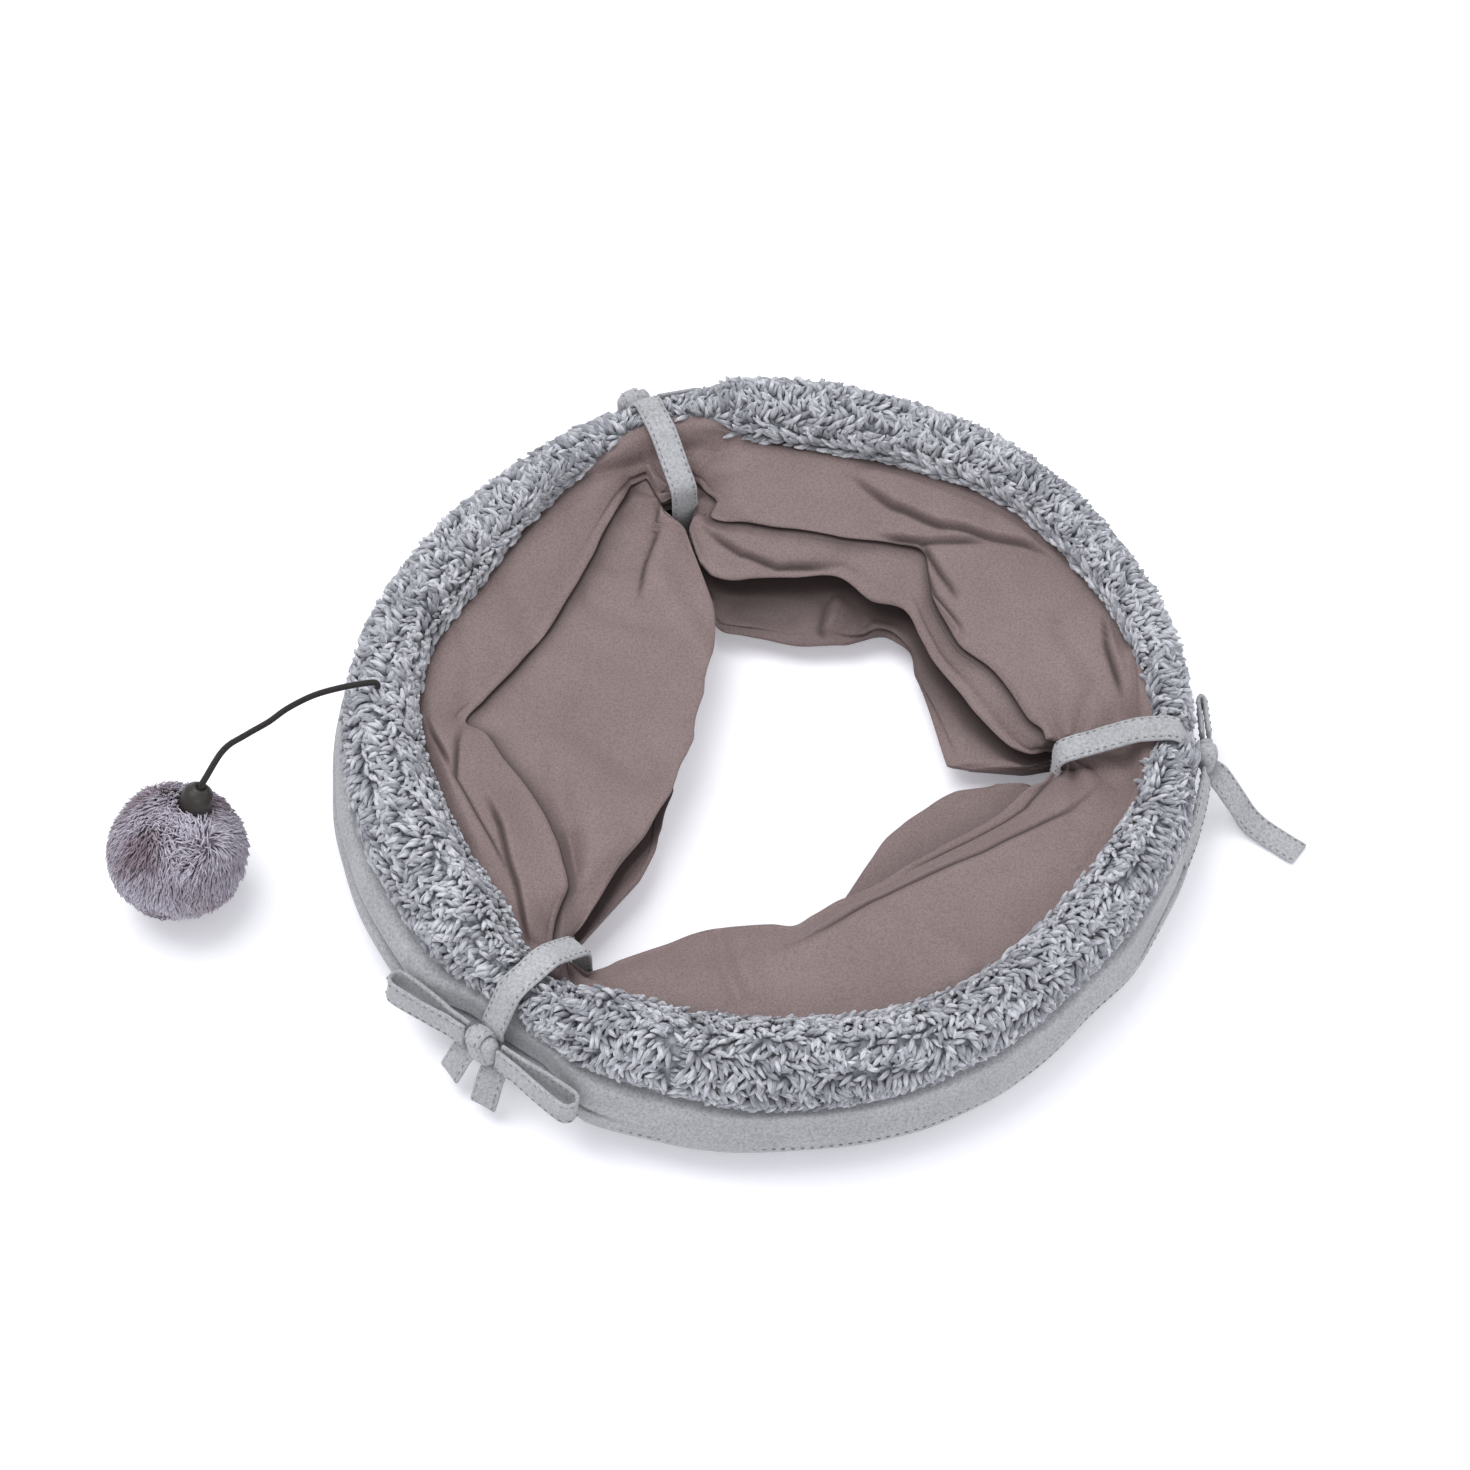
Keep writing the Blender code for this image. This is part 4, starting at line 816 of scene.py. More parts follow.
taupe_microfibre, tree, shader = material("taupe_microfibre", 0.62, sheen=0.3, sheen_roughness=0.35, specular=0.3)
shader.inputs["Sheen Tint"].default_value = linear("#DCD2D2")
where = add_node(tree, "ShaderNodeTexCoord")
cloudy = add_node(tree, "ShaderNodeTexNoise", Vector=where.outputs["Object"], Scale=28.0, Detail=3.0)
fine_nap = add_node(tree, "ShaderNodeTexNoise", Vector=where.outputs["Object"], Scale=1500.0, Detail=2.0)
tint = add_node(tree, "ShaderNodeValToRGB", i0=cloudy.outputs["Fac"])
tint.color_ramp.elements[0].color = linear("#81706F")
tint.color_ramp.elements[0].position = 0.25
tint.color_ramp.elements[1].color = linear("#8C7B7A")
tint.color_ramp.elements[1].position = 0.75
grain = add_node(tree, "ShaderNodeValToRGB", i0=fine_nap.outputs["Fac"])
grain.color_ramp.elements[0].color = linear("#E2E0DF")
grain.color_ramp.elements[0].position = 0.35
grain.color_ramp.elements[1].color = linear("#FFFFFF")
grain.color_ramp.elements[1].position = 0.6
cloth_tint = add_node(
    tree, "ShaderNodeMix", {"data_type": "RGBA", "blend_type": "MULTIPLY"}, i0=1.0,
    i6=tint.outputs["Color"], i7=grain.outputs["Color"],
)
# Painted shade: the "fold" attribute darkens the cloth towards #362B2A at the foot of each crease and in the pockets
# under the edge of the panel above
painted_shade_attribute = add_node(tree, "ShaderNodeAttribute", {"attribute_name": "fold"})
fold_shade = add_node(
    tree, "ShaderNodeMix", {"data_type": "RGBA"}, i0=painted_shade_attribute.outputs["Fac"],
    i6=cloth_tint.outputs[2], i7=linear("#362B2A"),
)
tree.links.new(fold_shade.outputs[2], shader.inputs["Base Color"])
relief = add_node(tree, "ShaderNodeBump", Strength=0.2, Distance=0.0001, Height=fine_nap.outputs["Fac"])
tree.links.new(relief.outputs["Normal"], shader.inputs["Normal"])

ring_centre = np.array([ring_x, ring_y])
panels = (
    ("lining_panel_upper", 116, upper_panel, (0.8, 0.8, 0.8, 1, 1, 1, 1.3, 1.6, 1.6, 1, 0.3, 0.3, 0.6), 8.0,
     upper_creases, upper_dents, None, None, 0.065),
    ("lining_panel_middle", 118, middle_panel, (0.6, 0.3, 0.3, 0.9, 1, 1, 1.3, 1.6, 1.6, 1, 0.3, 0.3, 0.6), 8.0,
     middle_creases, middle_dents, upper_edge, middle_painted_shade_reach, 0.095),
    ("lining_panel_lower", 84, lower_panel, (0.6, 0.3, 0.7, 1, 1.3, 1.6, 1.6, 1, 0.3, 0.3, 0.6), 6.0,
     lower_creases, lower_dents, middle_edge, lower_painted_shade_reach, 0.095),
)
for name, rows, section, crowding, nose, creases, dents, above_table, painted_shade_reach, flat_width in panels:
    mesh, angle, radius, height, along = cloth_ring(name, rows, lining_angles, section, np.array(crowding, float))
    places = ring_place(radius, height, closed_in(angle, radius))
    flat = places[:, :2] - ring_centre
    top_side = 1.0 - eased((along - nose) / 1.2)
    # Painted shade in the pockets: the upper panel darkens where it runs in under the collar's lip, and each lower
    # panel darkens below the edge of the panel above it
    if above_table is None:
        lip = collar_radius_at(angle) - collar_tube_at(angle)
        inside = lip - radius
        painted_pocket_shade = np.exp(-np.abs(inside) / 0.0012) * eased((lining_top_lean(angle) - 170.0) / 20.0)
    else:
        inside = edge_radius(above_table, angle, 0.003) - radius
        painted_pocket_shade = np.exp(-(np.maximum(inside, 0.0) / (round_ring(painted_shade_reach, angle, 2.0) / 1000)) ** 1.3)
    clear = eased((inside - 0.0005) / 0.004)
    rise, painted_crease_shade = np.zeros(len(flat)), np.zeros(len(flat))
    for line, tall, width, reach in creases:
        step_rise, step_painted_shade = crease(flat, line, tall / 1000, width / 1000, reach / 1000)
        rise += step_rise
        painted_crease_shade = np.maximum(painted_crease_shade, 0.85 * step_painted_shade)
    for line, tall, width in dents:
        rise += dent(flat, line, tall / 1000, width / 1000)
    rise += gathers(flat, 0.0024, 0.026)
    sway = 0.0016 * rolling(flat, 30.0, nose) + 0.0006 * rolling(flat, 85.0, nose + 3.0)
    loose = (1.0 - tie_grip(angle, 2.0, 6.0)) * (0.2 + 0.8 * eased((nose - along) / 2.5))
    edge_calm = 0.55 + 0.45 * eased((nose - along) / 1.6)
    places[:, 2] += top_side * clear * (edge_calm * rise + loose * sway)
    panel = shaped(mesh, places)
    # The "fold" attribute holds painted shade: the darkening at the creases' feet and in the pockets
    painted_shade_values = mesh.attributes.new("fold", "FLOAT", "POINT")
    painted_shade_values.data.foreach_set("value", (top_side * np.maximum(clear * painted_crease_shade, 0.85 * painted_pocket_shade)).astype(np.float32))
    mesh.materials.append(taupe_microfibre)
    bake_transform(panel)
    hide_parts("lining")


# Cover
# A tube of grey suede cloth outside the wire. It hangs from the fleece collar's outer edge,
# puffs out between the wire's turns and is turned over at the bottom into the hem.

cover_steps = 540
cover_count = 110
ridge_overhang = 0.016
upper_ridge_shares = (
    (0, 0.8), (20, 0.8), (60, 0.84), (100, 0.8), (120, 0.55), (142, 0.55), (160, 0.7), (182, 0.84), (200, 0.92),
    (215, 0.98), (249, 1.0), (270, 0.98), (290, 1.02), (306, 0.94), (315, 0.76), (324, 0.88),
    (335, 0.8), (350, 0.98),
)
lower_ridge_shares = (
    (0, 0.86), (20, 0.86), (60, 0.94), (100, 0.9), (120, 0.68), (142, 0.68), (160, 0.8), (182, 0.94), (200, 1.02),
    (215, 1.12), (249, 1.16), (270, 1.1), (290, 1.14), (306, 1.02), (315, 0.82), (324, 0.96),
    (335, 0.9), (350, 1.06),
)
tie_ridge_share = 0.6


def ridge_radius(shares, angle):
    share = round_ring(shares, angle, 2.5)
    return coil_radius + ridge_overhang * (share + (tie_ridge_share - share) * tie_grip(angle))


cover_angles = np.arange(cover_steps) * 360.0 / cover_steps
groove_shares = (
    (0, 1.0), (40, 1.0), (140, 1.0), (180, 1.0), (230, 1.0), (238, 0.35), (248, 0.0), (330, 0.0), (340, 0.4), (348, 1.0),
)


def cover_section(angle):
    tube = collar_tube_at(angle)
    lip = collar_radius_at(angle) + (tube - 0.0030) * math.cos(math.radians(-34.0))
    lip_height = collar_height + tube * math.sin(math.radians(-34.0))
    upper = ridge_radius(upper_ridge_shares, angle)
    lower = ridge_radius(lower_ridge_shares, angle)
    none = 0.0 * angle
    groove = round_ring(groove_shares, angle)

    def taut(row_height, inner_radius):
        outer = upper + (lower - upper) * (0.0232 - row_height) / 0.0074 + 0.0006
        return outer + (inner_radius - outer) * groove, row_height + none

    foot = coil_radius + 0.0090
    low_in = foot + (0.119 - foot) * groove
    low_beside = foot + (0.124 - foot) * groove
    return [
        (lip - 0.002, lip_height + 0.0015),
        (lip + 0.001, lip_height - 0.0008),
        (0.5 * (lip + upper) + 0.0015, 0.5 * (lip_height + 0.0262) + 0.0012),
        (upper - 0.0008, 0.0262 + none),
        (upper, 0.0232 + none),
        taut(0.0205, upper - 0.0028),
        taut(0.0202, 0.118),
        taut(0.0195, 0.112),
        taut(0.0188, 0.118),
        taut(0.0185, lower - 0.0030),
        (lower, 0.0158 + none),
        (lower - 0.0003, 0.0128 + none),
        (lower - 0.0020 - 0.0016 * groove, 0.0104 + none),
        (low_beside, 0.0101 + none),
        (low_in, 0.0096 + none),
        (low_beside, 0.0091 + none),
        (coil_radius + 0.0094 + none, 0.0088 + none),
        (coil_radius + 0.0099 + none, 0.0070 + none),
        (coil_radius + 0.0098 + none, 0.0040 + none),
    ]


mesh, angle, radius, height, along = cloth_ring("cover_cloth", cover_count, cover_angles, cover_section)
places = ring_place(radius, height, angle)
slack = rolling(places[:, :2] - ring_centre, 45.0, 9.0)
turn = np.radians(angle)
places[:, :2] += (0.0007 * slack * (1.0 - tie_grip(angle)))[:, None] * np.stack([np.cos(turn), np.sin(turn)], axis=1)
cover_cloth = shaped(mesh, places)

grey_suede, tree, shader = material("grey_suede", 0.95, sheen=0.3, sheen_roughness=0.5, specular=0.15)
where = add_node(tree, "ShaderNodeTexCoord")
cloudy = add_node(tree, "ShaderNodeTexNoise", Vector=where.outputs["Object"], Scale=55.0, Detail=4.0)
nap = add_node(tree, "ShaderNodeTexNoise", Vector=where.outputs["Object"], Scale=1100.0, Detail=3.0, Roughness=0.65)
tint = add_node(tree, "ShaderNodeValToRGB", i0=cloudy.outputs["Fac"])
tint.color_ramp.elements[0].color = linear("#AEAFB2")
tint.color_ramp.elements[0].position = 0.3
tint.color_ramp.elements[1].color = linear("#BABBBF")
tint.color_ramp.elements[1].position = 0.7
grain = add_node(tree, "ShaderNodeValToRGB", i0=nap.outputs["Fac"])
grain.color_ramp.elements[0].color = linear("#CDCDCD")
grain.color_ramp.elements[0].position = 0.3
grain.color_ramp.elements[1].color = linear("#FFFFFF")
grain.color_ramp.elements[1].position = 0.62
suede_tint = add_node(
    tree, "ShaderNodeMix", {"data_type": "RGBA", "blend_type": "MULTIPLY"}, i0=1.0,
    i6=tint.outputs["Color"], i7=grain.outputs["Color"],
)
tree.links.new(suede_tint.outputs[2], shader.inputs["Base Color"])
relief = add_node(tree, "ShaderNodeBump", Strength=0.5, Distance=0.00015, Height=nap.outputs["Fac"])
tree.links.new(relief.outputs["Normal"], shader.inputs["Normal"])
cover_cloth.data.materials.append(grey_suede)
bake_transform(cover_cloth)
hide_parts("outer_cover")


# Lower hem
# The cover's lower edge is turned in round the bottom turn of the wire and sewn with two rows of
# stitches. It is a firm suede rim, and the tunnel rests on it.

hem_half_width = 0.0088
hem_height = 0.0084
stitch_pitch = 0.0026


def hem_reach(angle):
    """How far the rim stands out from the wire: less in front, where the cover hangs over it."""
    return round_ring(((0, 8.8), (200, 8.8), (244, 8.8), (256, 6.2), (322, 6.2), (345, 8.8)), angle) / 1000


def hem_section(angle):
    none = 0.0 * angle
    half = hem_half_width
    out = hem_reach(angle)
    return [
        (coil_radius - 0.0052 + none, 0.0031 + none), (coil_radius - 0.0058 + none, 0.0078 + none),
        (coil_radius - 0.0075 + none, 0.0086 + none), (coil_radius - half + none, 0.0072 + none),
        (coil_radius - half + none, 0.0030 + none), (coil_radius - half + 0.0026 + none, 0.0003 + none),
        (coil_radius - 0.003 + none, 0.0 + none), (coil_radius + 0.003 + none, 0.0 + none),
        (coil_radius + out - 0.0024, 0.0003 + none), (coil_radius + out, 0.0028 + none),
        (coil_radius + out, 0.0066 + none), (coil_radius + out - 0.0014, 0.0082 + none),
        (coil_radius + out - 0.0022, 0.0076 + none), (coil_radius + out - 0.0028, 0.0031 + none),
    ]


mesh, angle, radius, height, along = cloth_ring("hem_rim", 44, cover_angles, hem_section)
places = ring_place(radius, height, angle)
places[:, 2] = np.maximum(places[:, 2], 0.0)
hem_rim = shaped(mesh, places)
hem_rim.data.materials.append(grey_suede)
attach(hem_rim, "bundle")
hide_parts("lower_hem")

grey_thread, tree, shader = material("grey_thread", 0.8, sheen=0.1)
shader.inputs["Base Color"].default_value = linear("#7E8180")
where = add_node(tree, "ShaderNodeTexCoord")
twist = add_node(tree, "ShaderNodeTexNoise", Vector=where.outputs["Object"], Scale=3000.0)
relief = add_node(tree, "ShaderNodeBump", Strength=0.4, Distance=0.0001, Height=twist.outputs["Fac"])
tree.links.new(relief.outputs["Normal"], shader.inputs["Normal"])


def add_stitches(mesh, places, ways, normals, slot_number, length=0.0014, thickness=0.00028):
    """Adds a short sewn thread to the mesh at each place above the floor, lying along its way."""
    threads = bmesh.new()
    for place, way, normal in zip(places, ways, normals):
        if place[2] < 2 * thickness:
            continue
        way = Vector(way).normalized()
        normal = (Vector(normal) - way * way.dot(Vector(normal))).normalized()
        axes = Matrix((way * length / 2, normal.cross(way) * thickness, normal * thickness)).transposed().to_4x4()
        axes.translation = Vector(place)
        bmesh.ops.create_icosphere(threads, subdivisions=1, radius=1.0, matrix=axes)
    for face in threads.faces:
        face.material_index = slot_number
        face.smooth = True
    sewn = bpy.data.meshes.new("threads")
    threads.to_mesh(sewn)
    threads.free()
    body = bmesh.new()
    body.from_mesh(mesh)
    body.from_mesh(sewn)
    body.to_mesh(mesh)
    body.free()
    bpy.data.meshes.remove(sewn)


def ring_stitches(radius, height, normal_lean, first=0.0, last=360.0):
    """Places, ways and normals of a row of stitches round the ring, at a radius that depends on the angle."""
    count = int(math.radians(last - first) * coil_radius / stitch_pitch)
    angles = first + (last - first) * np.arange(count) / count
    places = ring_place(radius(angles), height + 0.0 * angles, angles)
    ways = ring_place(radius(angles + 0.2), height + 0.0 * angles, angles + 0.2) - places
    lean = math.radians(normal_lean)
    flat = np.stack([np.cos(np.radians(angles)), np.sin(np.radians(angles))], axis=1) * math.cos(lean)
    normals = np.concatenate([flat, np.full((count, 1), math.sin(lean))], axis=1)
    return places, ways, normals


hem_rim.data.materials.append(grey_thread)
add_stitches(hem_rim.data, *ring_stitches(lambda angles: coil_radius + hem_reach(angles), 0.0036, 0.0), 1)
cover_cloth.data.materials.append(grey_thread)
add_stitches(
    cover_cloth.data, *ring_stitches(lambda angles: ridge_radius(lower_ridge_shares, angles), 0.0152, 10.0, 246.0, 342.0), 1,
)


# Straps
# Three suede straps pass right round the pressed bundle, each tied outside in a bow or a hitch.
# Each is a band of doubled suede 9.5 mm wide, sewn along both edges.

strap_width = 0.0095
bundle_outer_radius = 0.1397
inner_top = 0.0335
band_bend_height = 0.0305
knot_depth, knot_width, knot_height = 0.0072, 0.012, 0.013
knot_corner = 0.0032
knot_centre_height = 0.0252
tie_names = ("right", "back", "front")
knot_sizes = (0.8, 1.0, 1.0)


def baked(obj):
    """The object with its modifiers applied to its mesh."""
    bpy.context.view_layer.update()
    made = bpy.data.meshes.new_from_object(obj.evaluated_get(bpy.context.evaluated_depsgraph_get()))
    old = obj.data
    obj.modifiers.clear()
    obj.data = made
    made.name = old.name + "_worked"
    bpy.data.meshes.remove(old)
    return obj


def strap(name, line, across, width=strap_width, twist=0.0, cup=0.0003, sewn=True, pointed=0.0):
    """A doubled and sewn suede strap along a line of points, with its width along one direction."""
    line = np.array([tuple(point) for point in line])
    steps = np.concatenate([[0.0], np.cumsum(np.linalg.norm(np.diff(line, axis=0), axis=1))])
    stations = max(8, int(steps[-1] / 0.0011))
    body = bmesh.new()
    bmesh.ops.create_grid(body, x_segments=stations, y_segments=6, size=0.5)
    mesh = bpy.data.meshes.new(name)
    body.to_mesh(mesh)
    body.free()
    flat = np.empty(len(mesh.vertices) * 3, np.float32)
    mesh.vertices.foreach_get("co", flat)
    u, v = flat.reshape(-1, 3)[:, 0].astype(float) + 0.5, flat.reshape(-1, 3)[:, 1].astype(float)

    def at(share):
        return np.stack([np.interp(share * steps[-1], steps, line[:, axis]) for axis in range(3)], axis=1)

    def frame_at(share):
        way = at(np.minimum(share + 0.02, 1.0)) - at(np.maximum(share - 0.02, 0.0))
        way /= np.linalg.norm(way, axis=1)[:, None]
        side = np.broadcast_to(np.array(tuple(across), float), way.shape)
        side = side - way * np.sum(side * way, axis=1)[:, None]
        side /= np.linalg.norm(side, axis=1)[:, None]
        face = np.cross(way, side)
        turn = (twist * share)[:, None]
        return way, side * np.cos(turn) + face * np.sin(turn), face * np.cos(turn) - side * np.sin(turn)

    way, side, face = frame_at(u)
    worn = np.array([noise.noise(Vector(point) * 160.0) for point in at(u) + side * v[:, None] * width])
    places = at(u) + side * (v * width * (1.0 + 0.03 * worn))[:, None]
    places += face * (-cup * (2.0 * v) ** 2 + 0.00035 * worn)[:, None]
    places += way * (pointed * (u > 0.99) * v * width)[:, None]
    mesh.vertices.foreach_set("co", places.astype(np.float32).reshape(-1))
    obj = bpy.data.objects.new(name, mesh)
    scene.collection.objects.link(obj)
    mesh.materials.append(grey_suede)
    mesh.materials.append(grey_thread)
    solid = obj.modifiers.new("doubled", "SOLIDIFY")
    solid.thickness = strap_thickness - 0.0001
    solid.offset = 0.0
    rounded = obj.modifiers.new("rounded", "SUBSURF")
    rounded.levels = 1
    rounded.render_levels = 1
    baked(obj)
    for vert in obj.data.vertices:
        vert.co.z = max(vert.co.z, 0.0)
    obj.data.shade_smooth()
    if sewn:
        count = max(3, int(steps[-1] / stitch_pitch))
        shares = (np.arange(count) + 0.5) / count
        way, side, face = frame_at(shares)
        for edge in (-1.0, 1.0):
            for out in (-1.0, 1.0):
                rows = at(shares) + side * (edge * (width / 2 - 0.0012)) + face * (out * strap_thickness * 0.47)
                rows -= face * cup * 0.6
                add_stitches(obj.data, rows, way, face * out, 1)
    obj.data.shade_smooth()
    return obj


def tie_axes(number, radius, height, turn=0.0):
    """Axes at a tie, with X outwards, Y up and Z along the ring."""
    at_turn = math.radians(tie_angles[number])
    heading = math.radians(tie_angles[number] + tie_skews[number] + turn)
    outward = Vector((math.cos(heading), math.sin(heading), 0.0))
    upward = Vector((0.0, 0.0, 1.0))
    origin = Vector((ring_x + radius * math.cos(at_turn), ring_y + radius * math.sin(at_turn), height))
    axes = Matrix((outward, upward, outward.cross(upward))).transposed().to_4x4()
    return Matrix.Translation(origin) @ axes


def rounded_outline(corners, steps):
    """An outline round ((x, y), radius) corners, given in order."""
    outline = []
    for number, (corner, radius) in enumerate(corners):
        corner = Vector(corner)
        to_last = (Vector(corners[number - 1][0]) - corner).normalized()
        to_next = (Vector(corners[(number + 1) % len(corners)][0]) - corner).normalized()
        half = to_last.angle(to_next) / 2
        centre = corner + (to_last + to_next).normalized() * radius / math.sin(half)
        first = corner + to_last * radius / math.tan(half)
        last = corner + to_next * radius / math.tan(half)
        for step in range(steps + 1):
            point = first.lerp(last, step / steps) - centre
            outline.append(centre + point.normalized() * radius)
    return outline


def knot_place(number):
    middle = (tie_inner_radii[number] + bundle_outer_radius) / 2
    reach = bundle_outer_radius - middle + strap_thickness + fit_gap + knot_depth / 2
    return tie_axes(number, middle, knot_centre_height) @ Vector((reach, 0.0, 0.0))


for number, side_name in enumerate(tie_names):
    middle = (tie_inner_radii[number] + bundle_outer_radius) / 2
    tie = np.array([float(tie_angles[number])])
    shoulder = float(collar_radius_at(tie)[0] - collar_tube_at(tie)[0]) - middle
    half = strap_thickness / 2
    inner = tie_inner_radii[number] - middle - half
    outer = bundle_outer_radius - middle + half
    outline = rounded_outline((
        ((outer, band_bend_height), 0.004), ((outer - 0.0085, tie_top + half), 0.006),
        ((shoulder, tie_top + half), 0.0068),
        ((inner, inner_top + half), 0.0052), ((inner, half), 0.0052), ((outer, half), 0.0052),
    ), 8)
    outer_run = [point for point in outline]
    gap = Vector((outer + 0.0001, knot_centre_height - 0.001))
    outline = [Vector((outer + 0.0001, knot_centre_height + 0.001))] + outer_run + [gap]
    axes = tie_axes(number, middle, 0.0)
    band = strap(
        side_name + "_strap_band", [axes @ Vector((point.x, point.y, 0.0)) for point in outline],
        axes.to_3x3() @ Vector((0.0, 0.0, 1.0)), cup=0.0002,
    )
    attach(band, "bundle")
    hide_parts(side_name + "_tie_band")

    body = bmesh.new()
    bmesh.ops.create_cube(body, size=1.0)
    bmesh.ops.scale(body, vec=(knot_depth * 0.86, knot_height * 0.9, knot_width), verts=body.verts)
    bmesh.ops.bevel(
        body, geom=body.edges[:], offset=0.0028, offset_type="OFFSET", segments=3, profile=0.5,
        affect="EDGES", clamp_overlap=True, material=-1,
    )
    bmesh.ops.subdivide_edges(body, edges=body.edges[:], cuts=2, use_grid_fill=True)
    knot_size = knot_sizes[number]
    knot_axes = tie_axes(number, 0.0, 0.0)
    knot_axes.translation = knot_place(number)
    knot_axes = knot_axes @ Matrix.Translation(((knot_size - 1.0) * knot_depth / 2, 0.0, 0.0))
    for vert in body.verts:
        fold = math.sin(vert.co.z * 1250.0 + vert.co.y * 420.0 + number)
        lump = noise.noise(Vector((vert.co.x, vert.co.y, vert.co.z)) * 260.0 + Vector((3.0 * number, 0.0, 0.0)))
        pinch = 1.0 - 0.16 * (1.0 - abs(vert.co.z) / (knot_width / 2)) ** 2
        vert.co = Vector((vert.co.x * (pinch + 0.05 * fold), vert.co.y * (pinch + 0.04 * fold + 0.06 * lump), vert.co.z))
        vert.co *= knot_size
    mesh = bpy.data.meshes.new(side_name + "_strap_knot")
    body.transform(knot_axes)
    body.to_mesh(mesh)
    body.free()
    mesh.shade_smooth()
    mesh.materials.append(grey_suede)
    knot = bpy.data.objects.new(side_name + "_strap_knot", mesh)
    scene.collection.objects.link(knot)
    wrap = rounded_outline((
        ((knot_depth * 0.49, knot_height * 0.47), 0.0026), ((-knot_depth * 0.49, knot_height * 0.47), 0.0026),
        ((-knot_depth * 0.49, -knot_height * 0.47), 0.0026), ((knot_depth * 0.49, -knot_height * 0.47), 0.0026),
    ), 5)
    wrap.append(wrap[0])
    tilt = math.radians((14.0, -10.0, 16.0)[number])
    tilted = Matrix.Rotation(tilt, 4, "X")
    knot_wrap = strap(
        side_name + "_strap_wrap",
        [knot_axes @ (tilted @ Vector((point.x, point.y, 0.0))) for point in [turn * knot_size for turn in wrap]],
        knot_axes.to_3x3() @ (tilted.to_3x3() @ Vector((0.0, 0.0, 1.0))), width=0.0068 * knot_size, cup=0.0006,
    )
    for piece in (knot, knot_wrap):
        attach(piece, "bundle")
    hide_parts(side_name + "_tie_knot")


def pivot_reach():
    corner_x, corner_y = knot_depth / 2 - knot_corner, knot_width / 2 - knot_corner
    return math.hypot(corner_x, corner_y) + knot_corner + fit_gap


def loop_line(length, gap):
    """The middle of a strap that runs out from the knot, turns round and comes back."""
    root = strap_thickness / 2 + fit_gap
    tip = gap / 2
    side = []
    for step in range(10):
        share = step / 10
        side.append(Vector(((length - tip) * share, root + (tip - root) * float(eased(share)), 0.0)))
    turns = [math.radians(90 - 15 * step) for step in range(13)]
    turn_points = [Vector((length - tip + tip * math.cos(turn), tip * math.sin(turn), 0.0)) for turn in turns]
    return side + turn_points + [Vector((point.x, -point.y, 0.0)) for point in reversed(side)]


def end_line(length):
    steps = [length * step / 12 for step in range(13)]
    return [Vector((run, -run * run / (2 * bundle_outer_radius), 0.0)) for run in steps]


def side_axes(number, side, lean, tilt, droop, rise):
    """Axes of a strap that leaves its knot sideways, with X along it."""
    heading = math.radians(tie_angles[number] + tie_skews[number])
    outward = Vector((math.cos(heading), math.sin(heading), 0.0))
    upward = Vector((0.0, 0.0, 1.0))
    along = upward.cross(outward) * side
    level = along * math.cos(math.radians(lean)) + outward * math.sin(math.radians(lean))
    across = upward.cross(level) * -side
    fall = math.radians(droop)
    run = level * math.cos(fall) - upward * math.sin(fall)
    raised = upward * math.cos(fall) + level * math.sin(fall)
    face = across * math.cos(math.radians(tilt)) + raised * math.sin(math.radians(tilt))
    reach = (pivot_reach() + strap_width / 2 * math.sin(fall)) / math.cos(fall)
    start = knot_place(number) + run * reach + upward * rise
    return Matrix.Translation(start) @ Matrix((run, face, run.cross(face))).transposed().to_4x4()


# Name, tie, side, length, gap at the tip, lean outwards, tilt of the face, droop and rise
strap_loops = (
    ("right_tie_bow", 0, 1, 0.0145, 0.0018, 3.0, 8.0, 0.0, 0.0),
    ("back_tie_bow_left", 1, 1, 0.0135, 0.0034, -4.0, 8.0, 16.0, -0.0012),
    ("back_tie_bow_right", 1, -1, 0.018, 0.0044, -3.0, 8.0, 16.0, -0.0006),
    ("front_tie_bow_left", 2, -1, 0.0305, 0.0058, 7.9, 12.0, 0.0, 0.0),
    ("front_tie_bow_right", 2, 1, 0.0305, 0.0058, -6.0, 12.0, 0.0, 0.0),
)
side_ends = (("right_tie_tail_short", 0, -1, 0.034, -15.0, 20.0, 0.0, -0.001),)
side_straps = [(name, number, side, loop_line(length, gap), lean, tilt, droop, rise)
               for name, number, side, length, gap, lean, tilt, droop, rise in strap_loops]
side_straps += [(name, number, side, end_line(length), lean, tilt, droop, rise)
                for name, number, side, length, lean, tilt, droop, rise in side_ends]
for name, number, side, line, lean, tilt, droop, rise in side_straps:
    axes = side_axes(number, side, lean, tilt, droop, rise)
    piece = strap(
        name.replace("_tie_", "_strap_"), [axes @ point for point in line],
        axes.to_3x3() @ Vector((0.0, 0.0, 1.0)),
    )
    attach(piece, name)
    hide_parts(name)

